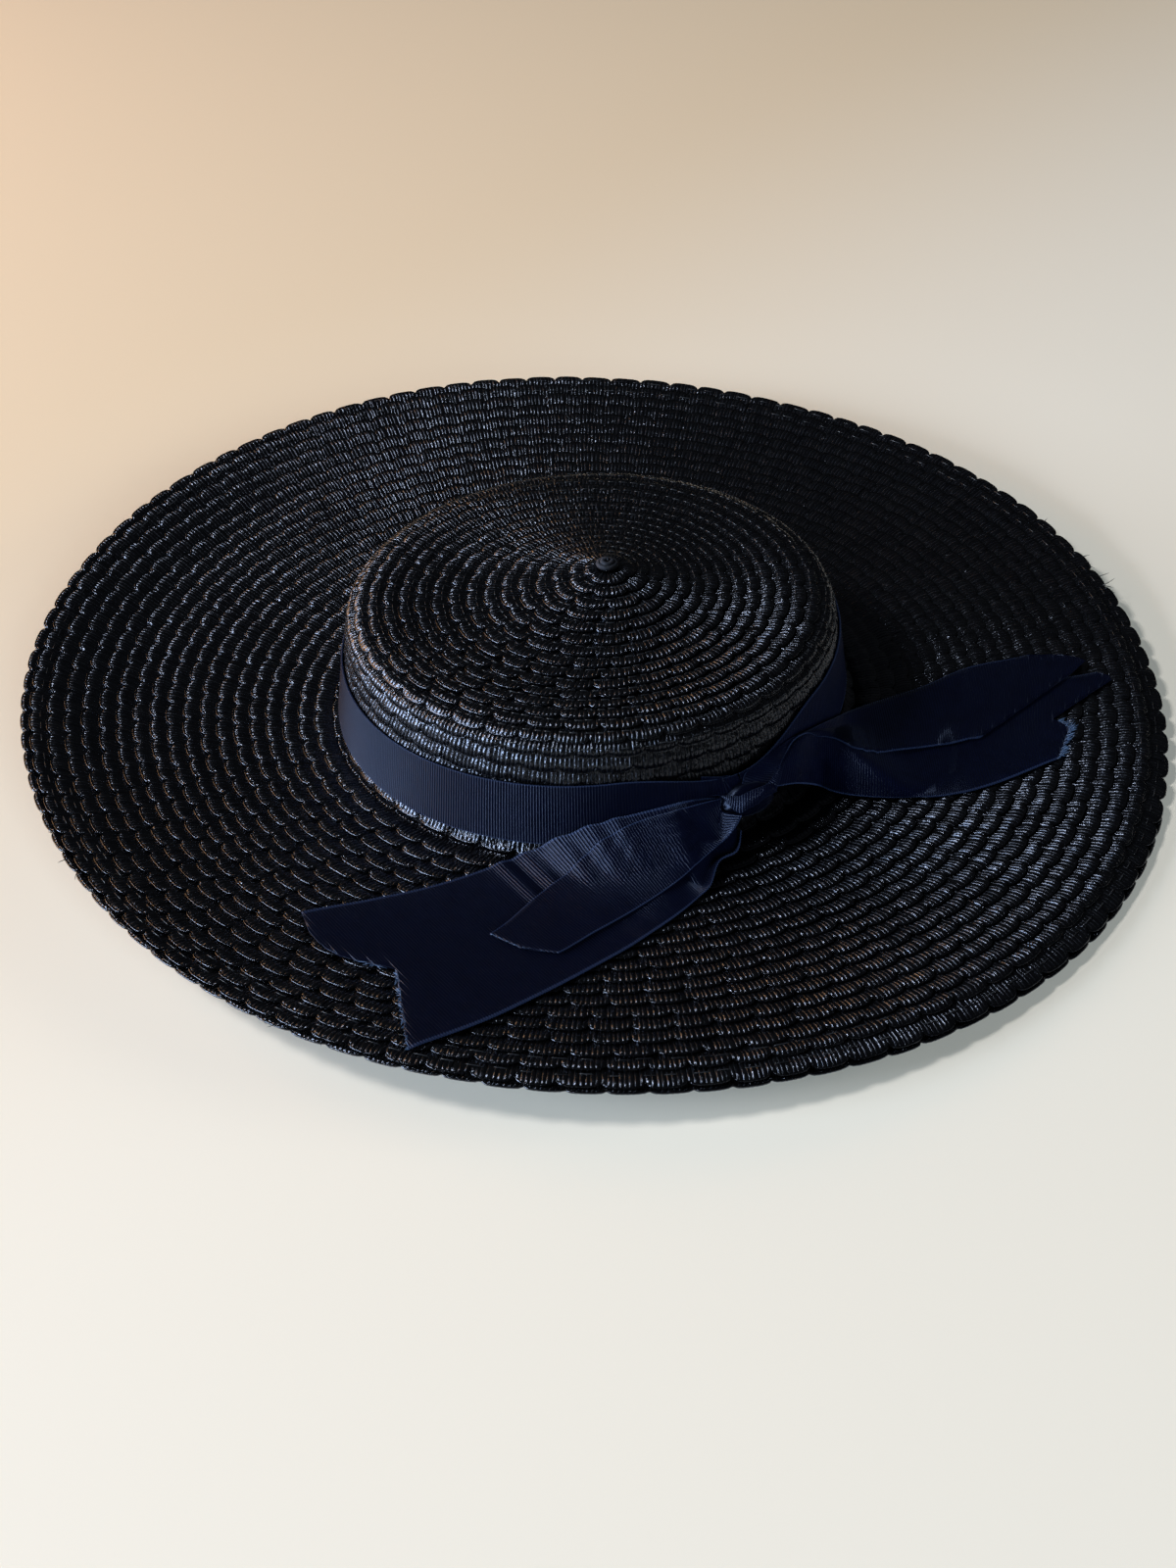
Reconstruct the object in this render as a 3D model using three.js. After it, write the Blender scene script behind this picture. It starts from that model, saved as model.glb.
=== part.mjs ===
// Wide-brimmed straw hat with a low flat crown, a ribbon band and a tied bow of four tails.
// Millimetres, +Z up. The origin is at the middle of the crown, on the surface that the hat stands on.

import * as THREE from 'three';
import { mergeVertices } from 'three/addons/utils/BufferGeometryUtils.js';

// Straw wall and the small clearance between neighbouring pieces
const STRAW = 2;
const GAP = 0.3;
const JOINED_WITHIN = 1e-3;

// Crown: a flat-topped hollow form with a low raised tip a little off its middle
const CROWN_SIDES = 60;
const RIM_RADIUS = 95;
const CROWN_FOOT = { radius: 91.4, height: 2.4 };
const CROWN_SHOULDER = { radius: 86, height: 39.5 };
const CROWN_OUTSIDE = [
  { radius: 0, height: 54 },
  { radius: 6, height: 52.6 },
  { radius: 30, height: 47.4 },
  { radius: 56, height: 44.8 },
  { radius: 70, height: 46.7 },
  { radius: 79, height: 46.8 },
  { radius: 84.2, height: 44.2 },
  CROWN_SHOULDER,
  CROWN_FOOT,
  { radius: RIM_RADIUS - GAP, height: STRAW },
  { radius: RIM_RADIUS - GAP, height: 0 },
];
const CROWN_INSIDE = [
  { radius: 91.5, height: 0 },
  { radius: 89.2, height: 2.4 },
  { radius: 84, height: 39 },
  { radius: 77.5, height: 44.6 },
  { radius: 56, height: 42.7 },
  { radius: 30, height: 45.3 },
  { radius: 0, height: 51.5 },
];
const TIP_SHIFT = { x: 6, y: 4, fadesAt: 70 };

// Brim: flat close to the crown, where the hat stands, then a saucer with a wavy scalloped edge
const BRIM_RADIUS = 202.6;
const SCALLOPS = 100;
const SIDES_PER_SCALLOP = 3;
const SCALLOP_DEPTH = 2;
const STANDING_RADIUS = 105;
const SAUCER_POWER = 1.4;
const EDGE_LIFT = 12.2;
const BRIM_STATIONS = [0, 0.085, 0.3, 0.6, 0.9, 1];
const TURNED_EDGE = { drop: 4, toward: -40, from: 0.9 };
const EDGE_WAVES = [
  { waves: 1, lift: 6.0, toward: 148 },
  { waves: 2, lift: 3.8, toward: 91 },
  { waves: 3, lift: 2.0, toward: 7 },
];
const OUTLINE_WAVES = [
  { waves: 2, reach: 3.3, toward: 121 },
  { waves: 3, reach: 2.8, toward: 41 },
];

// Band: a flat ribbon round the foot of the crown, climbing toward its knot on the right
const RIBBON = 1;
const BAND_WIDTH = 22;
const BAND_LOW = 7;
const BAND_CLIMB = 4.2;

// Bow: a tied knot in front of the band, a long and a short tail to each side
const BOW = { x: 52.6, y: -81 };
const KNOT = { x: 49.9, y: -82.7, height: 16.4, heading: 33, slant: 12, flatness: 0.72 };
const KNOT_PROFILE = [
  { along: -9.4, radius: 0 },
  { along: -9, radius: 4.6 },
  { along: -6, radius: 7 },
  { along: -1.5, radius: 7.6 },
  { along: 1.2, radius: 6.6 },
  { along: 5, radius: 7.4 },
  { along: 9, radius: 5 },
  { along: 9.4, radius: 0 },
];
const KNOT_SIDES = 14;
const TAIL_STEPS = { along: 14, across: 6 };
const SLOPE_STEP = 1e-3;
const TAIL_REST = 1.2;
const FLAT = { backLift: TAIL_REST, foldLift: TAIL_REST, frontLift: TAIL_REST };
const STACKED = 2.4;
const LEFT_HEADING = 213;
const RIGHT_HEADING = 20;

// Each tail lies along its heading from the knot. A row is one section: how far along it is, the places of
// the back edge, the fold and the front edge to the side of the heading, and how high each stands over the
// brim. A cut gives the ribbon's end: how far along it reaches, from the back edge, 0, to the front edge, 1.
const EDGES = ['back', 'fold', 'front'];
const LIFTS = ['backLift', 'foldLift', 'frontLift'];
const LEFT_LONG = [
  { along: 13.5, back: -4, fold: 0.5, front: 4.5, backLift: 16, foldLift: 14, frontLift: 9 },
  { along: 27, back: -6.6, fold: 3, front: 13, backLift: 14, foldLift: 8, frontLift: TAIL_REST },
  { along: 37, back: -10, fold: 3, front: 17, backLift: 12.5, foldLift: 5.5, frontLift: TAIL_REST },
  { along: 49, back: -16.8, fold: 0, front: 21, backLift: 8.5, foldLift: 3.5, frontLift: TAIL_REST },
  { along: 62, back: -25, fold: -2, front: 24, backLift: 3, foldLift: 2, frontLift: TAIL_REST },
  { along: 76, back: -29.5, fold: -1, front: 27, ...FLAT },
  { along: 100, back: -31, fold: 0, front: 30, ...FLAT },
  { along: 125, back: -36.5, fold: -2, front: 32, ...FLAT },
  { along: 148, back: -42, fold: -4, front: 32, ...FLAT },
];
const LEFT_LONG_CUT = [
  { across: 0, along: 146 },
  { across: 0.33, along: 148 },
  { across: 0.5, along: 135 },
  { across: 0.67, along: 141 },
  { across: 1, along: 151 },
];
const LEFT_SHORT = [
  { along: 14, back: -3, fold: 0, front: 3.2 },
  { along: 27, back: -5, fold: 1, front: 6.5 },
  { along: 41, back: -9.6, fold: 0, front: 10.4 },
  { along: 64, back: -13.5, fold: 0, front: 14 },
  { along: 96, back: -2.5, fold: 8, front: 18 },
];
const LEFT_SHORT_CUT = [
  { across: 0, along: 102 },
  { across: 0.33, along: 101 },
  { across: 1, along: 90 },
];
const RIGHT_LONG = [
  { along: 8, back: -5, fold: -1, front: 2.5, backLift: 17, foldLift: 16, frontLift: 9 },
  { along: 27, back: -15.4, fold: -12.4, front: -8.6, backLift: 21, foldLift: 21, frontLift: TAIL_REST },
  { along: 37, back: -21.5, fold: -6.2, front: -1.6, backLift: 16, foldLift: 16.5, frontLift: TAIL_REST },
  { along: 48, back: -27.5, fold: 0.4, front: 3, backLift: 10, foldLift: 8, frontLift: TAIL_REST },
  { along: 58, back: -30, fold: 1, front: 8, backLift: 6, foldLift: 2.5, frontLift: TAIL_REST },
  { along: 76, back: -30, fold: -6, front: 12.7, backLift: 2, foldLift: TAIL_REST, frontLift: TAIL_REST },
  { along: 96, back: -29, fold: -8, front: 13.6, ...FLAT },
  { along: 128, back: -25, fold: -8.5, front: 11.5, ...FLAT },
];
const RIGHT_LONG_CUT = [
  { across: 0, along: 146 },
  { across: 0.17, along: 150 },
  { across: 0.5, along: 118 },
  { across: 0.67, along: 121 },
  { across: 1, along: 108 },
];
const RIGHT_SHORT = [
  { along: 8.5, back: -4.4, fold: -2.4, front: -0.4 },
  { along: 27, back: -14.8, fold: -13.6, front: -12.2 },
  { along: 39, back: -22.6, fold: -14, front: -5.8 },
  { along: 61, back: -33.5, fold: -22, front: -12 },
  { along: 78, back: -40, fold: -26, front: -12 },
  { along: 106, back: -46, fold: -30, front: -10 },
];
const RIGHT_SHORT_CUT = [
  { across: 0, along: 128 },
  { across: 0.33, along: 147 },
  { across: 1, along: 90 },
];

const STRAW_FINISH = { color: 0x131316, roughness: 0.35, metalness: 0 };
const RIBBON_FINISH = { color: 0x12172c, roughness: 0.75, metalness: 0 };

const radians = THREE.MathUtils.degToRad;
const { clamp, lerp, smoothstep } = THREE.MathUtils;

// Sum of a wave table at an angle, from one of its columns
function waveSum(table, column, angle) {
  const heights = table.map((row) => row[column] * Math.cos(row.waves * (angle - radians(row.toward))));
  return heights.reduce((sum, height) => sum + height, 0);
}

// Distance of the brim's edge from the axis, without its scallops
function edgeRadius(angle) {
  return BRIM_RADIUS + waveSum(OUTLINE_WAVES, 'reach', angle);
}

// Height of the brim's upper face: flat round the crown, then rising to the wavy edge, whose last row turns
// down on one side
function brimHeight(radius, angle) {
  const way = clamp((radius - STANDING_RADIUS) / (edgeRadius(angle) - STANDING_RADIUS), 0, 1);
  const lift = EDGE_LIFT + waveSum(EDGE_WAVES, 'lift', angle);
  const turn = TURNED_EDGE.drop * Math.max(0, Math.cos(angle - radians(TURNED_EDGE.toward)));
  return STRAW + (lift + turn) * way ** SAUCER_POWER - turn * smoothstep(way, TURNED_EDGE.from, 1);
}

// Outer radius of the crown's side at a height
function sideRadius(height) {
  const way = (height - CROWN_FOOT.height) / (CROWN_SHOULDER.height - CROWN_FOOT.height);
  return lerp(CROWN_FOOT.radius, CROWN_SHOULDER.radius, way);
}

// One closed surface: shared corners joined and the empty triangles at poles left out
function closedSurface(geometry) {
  geometry.deleteAttribute('normal');
  geometry.deleteAttribute('uv');
  geometry.clearGroups();
  const merged = mergeVertices(geometry, JOINED_WITHIN);
  const corners = Array.from(merged.index.array);
  const kept = [];
  for (let i = 0; i < corners.length; i += 3) {
    const [a, b, c] = corners.slice(i, i + 3);
    if (a !== b && b !== c && c !== a) {
      kept.push(a, b, c);
    }
  }
  merged.setIndex(kept);
  merged.computeVertexNormals();
  return merged;
}

// Moves every point of a geometry by a rule that sets the given vector
function reshape(geometry, rule) {
  const places = geometry.attributes.position;
  const point = new THREE.Vector3();
  for (let i = 0; i < places.count; i += 1) {
    point.fromBufferAttribute(places, i);
    rule(point);
    places.setXYZ(i, point.x, point.y, point.z);
  }
  return geometry;
}

// A profile of radius and height rows turned about the Z axis
function turned(profile, sides) {
  const points = profile.map((row) => new THREE.Vector2(row.radius, row.height));
  return new THREE.LatheGeometry(points, sides).rotateX(Math.PI / 2);
}

// A mesh of its own finish, named as its node
function named(name, geometry, finish) {
  const mesh = new THREE.Mesh(closedSurface(geometry), new THREE.MeshStandardMaterial(finish));
  mesh.name = name;
  return mesh;
}

function crown() {
  const profile = [...CROWN_OUTSIDE, ...CROWN_INSIDE].reverse();
  const shell = reshape(turned(profile, CROWN_SIDES), (point) => {
    const shift = 1 - smoothstep(Math.hypot(point.x, point.y), 0, TIP_SHIFT.fadesAt);
    point.x += TIP_SHIFT.x * shift;
    point.y += TIP_SHIFT.y * shift;
  });
  return named('crown', shell, STRAW_FINISH);
}

// A ring wall is turned from a profile whose radius counts 1 plus the way across and whose height is 0 below
// and 1 above. The rule then gives each point its real place from its angle, its way and its side.
function ringWall(stations, sides, place) {
  const above = stations.map((way) => ({ radius: 1 + way, height: 1 }));
  const below = stations.map((way) => ({ radius: 1 + way, height: 0 })).reverse();
  const profile = [...above, ...below, above[0]].reverse();
  return reshape(turned(profile, sides), (point) => {
    const angle = Math.atan2(point.y, point.x);
    const way = Math.hypot(point.x, point.y) - 1;
    place(point, angle, way, point.z);
  });
}

function brim() {
  const sides = SCALLOPS * SIDES_PER_SCALLOP;
  const wall = ringWall(BRIM_STATIONS, sides, (point, angle, way, side) => {
    const radius = lerp(RIM_RADIUS, edgeRadius(angle), way);
    const scallop = SCALLOP_DEPTH * Math.abs(Math.sin((SCALLOPS * angle) / 2));
    const reach = radius + scallop * smoothstep(way, BRIM_STATIONS.at(-2), 1);
    const height = brimHeight(radius, angle) - STRAW * (1 - side);
    point.set(reach * Math.cos(angle), reach * Math.sin(angle), height);
  });
  return named('brim', wall, STRAW_FINISH);
}

function band() {
  const wall = ringWall([0, 1], CROWN_SIDES, (point, angle, way, side) => {
    const height = BAND_LOW + BAND_CLIMB * Math.cos(angle) + BAND_WIDTH * side;
    const radius = sideRadius(height) + GAP + RIBBON * way;
    point.set(radius * Math.cos(angle), radius * Math.sin(angle), height);
  });
  return named('band', wall, RIBBON_FINISH);
}

function knot() {
  const profile = KNOT_PROFILE.map((row) => ({ radius: row.radius, height: row.along }));
  const wrap = turned(profile, KNOT_SIDES).rotateY(Math.PI / 2);
  wrap.scale(1, KNOT.flatness, 1);
  const mesh = named('knot', wrap, RIBBON_FINISH);
  mesh.position.set(KNOT.x, KNOT.y, KNOT.height);
  mesh.rotation.set(0, -radians(KNOT.slant), radians(KNOT.heading), 'ZYX');
  return mesh;
}

// Value of a column between two rows of a table that is sorted by another column
function lookUp(rows, by, column, at) {
  const passed = rows.filter((row) => row[by] < at).length;
  const next = clamp(passed, 1, rows.length - 1);
  const [low, high] = [rows[next - 1], rows[next]];
  const way = clamp((at - low[by]) / (high[by] - low[by]), 0, 1);
  return lerp(low[column], high[column], way);
}

// Smooth value of a column at a way from the first row, 0, to the last row, 1
function alongRows(rows, column, way) {
  const place = way * (rows.length - 1);
  const start = Math.min(Math.floor(place), rows.length - 2);
  const valueAt = (row) => rows[clamp(row, 0, rows.length - 1)][column];
  const before = valueAt(start - 1);
  const low = valueAt(start);
  const high = valueAt(start + 1);
  const after = valueAt(start + 2);
  const t = place - start;
  const slopeLow = (high - before) / 2;
  const slopeHigh = (after - low) / 2;
  const bend = 2 * (low - high) + slopeLow + slopeHigh;
  return low + t * (slopeLow + t * (3 * (high - low) - 2 * slopeLow - slopeHigh + t * bend));
}

// Value across a section, from the back edge, 0, over the fold, 0.5, to the front edge, 1
function acrossRows(rows, columns, way, across) {
  const [back, fold, front] = columns.map((column) => alongRows(rows, column, way));
  return across < 0.5 ? lerp(back, fold, across * 2) : lerp(fold, front, across * 2 - 1);
}

// Height of a long tail over the brim, under a point that lies along and to the side of its heading
function liftUnder(rows, along, side) {
  const section = EDGES.map((edge, place) => ({
    side: lookUp(rows, 'along', edge, along),
    lift: lookUp(rows, 'along', LIFTS[place], along),
  }));
  return lookUp(section, 'side', 'lift', side);
}

// A tail of ribbon: its middle surface follows the rows, its end the cut and its height over the brim liftOf.
// The wall is laid to both sides of that surface.
function tail(name, heading, rows, cut, liftOf) {
  const forward = new THREE.Vector2(Math.cos(radians(heading)), Math.sin(radians(heading)));
  const frontward = new THREE.Vector2(forward.y, -forward.x).multiplyScalar(Math.sign(forward.x));
  const lastStep = 1 - 1 / (rows.length - 1);

  function middle(way, across) {
    const side = acrossRows(rows, EDGES, way, across);
    const straight = alongRows(rows, 'along', way);
    const cutShare = clamp((way - lastStep) / (1 - lastStep), 0, 1);
    const along = straight + cutShare * (lookUp(cut, 'across', 'along', across) - straight);
    const x = BOW.x + forward.x * along + frontward.x * side;
    const y = BOW.y + forward.y * along + frontward.y * side;
    const floor = brimHeight(Math.hypot(x, y), Math.atan2(y, x));
    return new THREE.Vector3(x, y, floor + liftOf({ along, side, way, across }));
  }

  const box = new THREE.BoxGeometry(1, 1, 1, TAIL_STEPS.along, TAIL_STEPS.across, 1);
  const wall = reshape(box, (point) => {
    const way = point.x + 0.5;
    const across = forward.x < 0 ? point.y + 0.5 : 0.5 - point.y;
    const here = middle(way, across);
    const fore = middle(Math.min(way + SLOPE_STEP, 1), across);
    const aft = middle(Math.max(way - SLOPE_STEP, 0), across);
    const frontSide = middle(way, Math.min(across + SLOPE_STEP, 1));
    const backSide = middle(way, Math.max(across - SLOPE_STEP, 0));
    const upward = fore.sub(aft).cross(frontSide.sub(backSide)).normalize();
    const offset = Math.sign(-forward.x) * RIBBON * point.z;
    point.copy(here).addScaledVector(upward, offset);
  });
  return named(name, wall, RIBBON_FINISH);
}

// A long tail stands over the brim as its own rows say
function longTail(name, heading, rows, cut) {
  return tail(name, heading, rows, cut, ({ way, across }) => acrossRows(rows, LIFTS, way, across));
}

// A short tail lies on the long one of its side
function shortTail(name, heading, rows, cut, carrier) {
  return tail(name, heading, rows, cut, ({ along, side }) => liftUnder(carrier, along, side) + STACKED);
}

const hat = new THREE.Group();
hat.add(
  crown(),
  brim(),
  band(),
  knot(),
  longTail('tail_left_long', LEFT_HEADING, LEFT_LONG, LEFT_LONG_CUT),
  shortTail('tail_left_short', LEFT_HEADING, LEFT_SHORT, LEFT_SHORT_CUT, LEFT_LONG),
  longTail('tail_right_long', RIGHT_HEADING, RIGHT_LONG, RIGHT_LONG_CUT),
  shortTail('tail_right_short', RIGHT_HEADING, RIGHT_SHORT, RIGHT_SHORT_CUT, RIGHT_LONG),
);

export default hat;
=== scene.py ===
"""A wide-brimmed black straw hat with a navy ribbon bow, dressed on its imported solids.

Metres, +Z up. The hat stands on its own at the origin, as its solids do. Tables are in millimetres and are
brought to metres where they are read.
"""
import logging
import math
from dataclasses import dataclass
from enum import Enum
from typing import NamedTuple

import bpy
import numpy as np
from mathutils import Matrix, Vector


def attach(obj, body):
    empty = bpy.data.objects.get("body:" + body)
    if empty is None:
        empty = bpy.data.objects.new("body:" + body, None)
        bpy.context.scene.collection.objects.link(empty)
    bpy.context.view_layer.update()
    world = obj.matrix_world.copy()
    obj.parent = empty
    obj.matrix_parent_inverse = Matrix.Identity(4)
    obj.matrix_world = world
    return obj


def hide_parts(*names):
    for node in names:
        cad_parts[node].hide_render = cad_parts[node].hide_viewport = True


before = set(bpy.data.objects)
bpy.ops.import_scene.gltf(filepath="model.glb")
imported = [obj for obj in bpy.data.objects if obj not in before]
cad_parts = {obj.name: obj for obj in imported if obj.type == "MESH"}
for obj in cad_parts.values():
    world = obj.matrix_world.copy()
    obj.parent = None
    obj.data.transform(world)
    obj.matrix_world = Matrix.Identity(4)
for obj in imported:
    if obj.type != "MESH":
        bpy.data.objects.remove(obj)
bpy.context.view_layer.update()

LOG = logging.getLogger("hat")
MM = 0.001
ROOT = "root"
PATTERN_MAP = "pattern"
RIB_PITCH = 0.95 * MM
FULL_TURN = 360.0

# Short names for types

Array = np.ndarray
Material = bpy.types.Material
NodeTree = bpy.types.NodeTree
Piece = bpy.types.Object
Socket = bpy.types.NodeSocket
Sockets = bpy.types.bpy_prop_collection
Pair = tuple[float, float]
Triple = tuple[float, float, float]


class Slot(Enum):
    """The record's two material slots."""

    STRAW = "straw"
    RIBBON = "ribbon"


class Held(Enum):
    """How a piece of ribbon lies."""

    LAID = "laid"
    FOLDED = "folded"
    STRETCHED = "stretched"


# Shared helpers for tables and meshes


def smoothstep(value: Array, low: float, high: float) -> Array:
    """Rises smoothly from 0 at low to 1 at high."""
    share = np.clip((value - low) / (high - low), 0.0, 1.0)
    return share * share * (3.0 - 2.0 * share)


def smooth_rows(rows: Array, way: Array) -> Array:
    """Reads a table between its rows on a smooth curve.

    Args:
        rows: The table, one line for each row.
        way: Places from the first row, 0, to the last row, 1.

    Returns:
        One line for each place, with the table's columns.
    """
    last = len(rows) - 1
    place = np.clip(way, 0.0, 1.0) * last
    start = np.minimum(place.astype(int), last - 1)
    part = (place - start)[:, None]
    before = rows[np.maximum(start - 1, 0)]
    low = rows[start]
    high = rows[start + 1]
    after = rows[np.minimum(start + 2, last)]
    slope_low = (high - before) / 2
    slope_high = (after - low) / 2
    bend = 2 * (low - high) + slope_low + slope_high
    return low + part * (slope_low + part * (3 * (high - low) - 2 * slope_low - slope_high + part * bend))


def polar(radius: Array, angle: Array, height: Array) -> Array:
    """Turns distances from the axis, angles and heights into points."""
    return np.stack((radius * np.cos(angle), radius * np.sin(angle), height), axis=-1)


def spread(draw: np.random.Generator, shape: int | tuple[int, int], base: float, span: float) -> Array:
    """Draws values evenly from base to base + span."""
    return base + span * draw.random(shape)


def deselect_all() -> None:
    """Leaves object mode with nothing selected."""
    if bpy.context.mode != "OBJECT":
        bpy.ops.object.mode_set(mode="OBJECT")
    bpy.ops.object.select_all(action="DESELECT")


def make_active(piece: Piece) -> None:
    """Selects one piece alone.

    Args:
        piece: The piece.
    """
    deselect_all()
    piece.select_set(True)
    bpy.context.view_layer.objects.active = piece


def crease(mesh: bpy.types.Mesh, lines: Array) -> None:
    """Marks the edges along some lines of points as sharp, so that the ribs beside them shade as round.

    Args:
        mesh: The mesh.
        lines: The line that each point is on, or -1.
    """
    ends = np.zeros(2 * len(mesh.edges), np.int32)
    mesh.edges.foreach_get("vertices", ends)
    ends = lines[ends.reshape(-1, 2)]
    sharp = mesh.attributes.get("sharp_edge") or mesh.attributes.new("sharp_edge", "BOOLEAN", "EDGE")
    sharp.data.foreach_set("value", (ends[:, 0] == ends[:, 1]) & (ends[:, 0] >= 0))


def mesh_from_arrays(name: str, points: Array, quads: Array, places: Array) -> Piece:
    """Makes a smooth object from point and quad arrays.

    Args:
        name: The piece's name.
        points: Corner places, in metres.
        quads: Four corners for each face. A triangle repeats its last corner.
        places: The pattern place of each quad's corners, for the UV map.

    Returns:
        The object, at the origin.
    """
    mesh = bpy.data.meshes.new(name)
    four = quads[:, 3] != quads[:, 2]
    sizes = np.where(four, 4, 3)
    kept = np.ones(quads.shape, bool)
    kept[:, 3] = four
    corners = quads[kept]
    mesh.vertices.add(len(points))
    mesh.vertices.foreach_set("co", points.astype(np.float32).ravel())
    mesh.loops.add(len(corners))
    mesh.loops.foreach_set("vertex_index", corners.astype(np.int32))
    mesh.polygons.add(len(quads))
    mesh.polygons.foreach_set("loop_start", np.concatenate(([0], np.cumsum(sizes)[:-1])).astype(np.int32))
    mesh.update(calc_edges=True)
    layer = mesh.uv_layers.new(name=PATTERN_MAP)
    layer.data.foreach_set("uv", places[kept].astype(np.float32).ravel())
    mesh.validate()
    mesh.shade_smooth()
    piece = bpy.data.objects.new(name, mesh)
    bpy.context.scene.collection.objects.link(piece)
    return piece


def settle(piece: Piece, material: Material, nodes: tuple[str, ...] = ()) -> None:
    """Dresses a finished piece and puts it on the hat.

    Args:
        piece: The finished object.
        material: Its finish.
        nodes: The solids that it stands for, if any.
    """
    piece.data.materials.clear()
    piece.data.materials.append(material)
    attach(piece, ROOT)
    if nodes:
        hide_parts(*nodes)
    LOG.info("%s: %d faces", piece.name, len(piece.data.polygons))


# The hat's form under its braid


class EdgeWave(NamedTuple):
    """A wave round the brim: its count, its height in millimetres and the side that it rises toward."""

    waves: int
    height: float
    toward: float


def wave_sum(table: tuple[EdgeWave, ...], angle: Array) -> Array:
    """Adds up a table of waves at some angles, in metres."""
    return sum(row.height * MM * np.cos(row.waves * (angle - math.radians(row.toward))) for row in table)


@dataclass(frozen=True)
class HatForm:
    """The smooth form under the braid: the crown's outside curve and the brim's upper face."""

    straw: float = 2.0 * MM
    foot_radius: float = 91.4 * MM
    foot_height: float = 2.4 * MM
    shoulder_radius: float = 86.0 * MM
    shoulder_height: float = 39.5 * MM
    crown_curve: tuple[Pair, ...] = (
        (0.0, 54.0), (6.0, 52.4), (17.0, 49.4), (30.0, 47.1), (43.0, 45.5), (56.0, 45.1), (70.0, 45.8),
        (78.6, 45.4), (84.0, 43.0), (86.2, 38.5), (88.7, 21.0), (91.2, 4.0), (92.6, 1.9), (95.0, 1.5),
    )
    tip_shift: Pair = (6.0 * MM, 4.0 * MM)
    tip_fades_at: float = 70.0 * MM
    brim_radius: float = 204.6 * MM
    standing_radius: float = 105.0 * MM
    saucer_power: float = 1.4
    edge_lift: float = 12.2 * MM
    turned_drop: float = 4.0 * MM
    turned_toward: float = -40.0
    turned_from: float = 0.9
    edge_waves: tuple[EdgeWave, ...] = (EdgeWave(1, 6.0, 148), EdgeWave(2, 3.8, 91), EdgeWave(3, 2.0, 7))
    outline_waves: tuple[EdgeWave, ...] = (
        EdgeWave(1, 1.7, 60), EdgeWave(2, 2.2, 302), EdgeWave(3, 1.6, 41), EdgeWave(4, 0.6, 337),
        EdgeWave(5, 0.6, 30),
    )
    rim_waves: tuple[EdgeWave, ...] = (EdgeWave(1, 2.3, 147), EdgeWave(2, 0.7, 12), EdgeWave(3, 0.4, 49))
    rim_from: float = 0.6

    def edge_radius(self, angle: Array) -> Array:
        """Distance of the brim's edge from the axis, without its scallops."""
        return self.brim_radius + wave_sum(self.outline_waves, angle)

    def brim_height(self, radius: Array, angle: Array) -> Array:
        """Height of the brim's upper face.

        Args:
            radius: Distances from the axis.
            angle: Angles round the axis.

        Returns:
            Heights. The brim is flat round the crown and then rises to its wavy edge, whose last row turns
            down on one side.
        """
        reach = self.edge_radius(angle) - self.standing_radius
        way = np.clip((radius - self.standing_radius) / reach, 0.0, 1.0)
        lift = self.edge_lift + wave_sum(self.edge_waves, angle)
        turn = self.turned_drop * np.maximum(0.0, np.cos(angle - math.radians(self.turned_toward)))
        rim = wave_sum(self.rim_waves, angle) * smoothstep(way, self.rim_from, 1.0)
        rise = (lift + turn) * way**self.saucer_power - turn * smoothstep(way, self.turned_from, 1.0)
        return self.straw + rise + rim

    def side_radius(self, height: Array) -> Array:
        """Outer radius of the crown's side at a height."""
        way = (height - self.foot_height) / (self.shoulder_height - self.foot_height)
        return self.foot_radius + way * (self.shoulder_radius - self.foot_radius)


class CrownGuide:
    """The crown's outside, followed by the distance down from its tip."""

    SAMPLES = 800

    def __init__(self, form: HatForm) -> None:
        """Samples the form's crown curve by its length.

        Args:
            form: The hat's form.
        """
        self.form = form
        curve = np.array(form.crown_curve) * MM
        profile = smooth_rows(curve, np.linspace(0.0, 1.0, self.SAMPLES))
        profile[:, 0] = np.maximum(profile[:, 0], 0.0)
        steps = np.diff(profile, axis=0)
        self.length = np.concatenate(([0.0], np.cumsum(np.hypot(steps[:, 0], steps[:, 1]))))
        slope = np.gradient(profile, self.length, axis=0)
        slope /= np.linalg.norm(slope, axis=1)[:, None]
        self.profile = profile
        self.outward = np.column_stack((-slope[:, 1], slope[:, 0]))
        self.total = float(self.length[-1])

    def radius(self, distance: Array) -> Array:
        """Distance from the axis at distances from the tip."""
        return np.interp(distance, self.length, self.profile[:, 0])

    def place(self, distance: Array, angle: Array) -> tuple[Array, Array]:
        """Finds points on the crown.

        Args:
            distance: Distances from the tip, down the curve.
            angle: Angles round the axis.

        Returns:
            The points and the outward directions there.
        """
        radius = self.radius(distance)
        height = np.interp(distance, self.length, self.profile[:, 1])
        out = np.interp(distance, self.length, self.outward[:, 0])
        rise = np.interp(distance, self.length, self.outward[:, 1])
        shift = 1.0 - smoothstep(radius, 0.0, self.form.tip_fades_at)
        x = radius * np.cos(angle) + self.form.tip_shift[0] * shift
        y = radius * np.sin(angle) + self.form.tip_shift[1] * shift
        outward = np.stack((out * np.cos(angle), out * np.sin(angle), rise), axis=-1)
        return np.stack((x, y, height), axis=-1), outward


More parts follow.
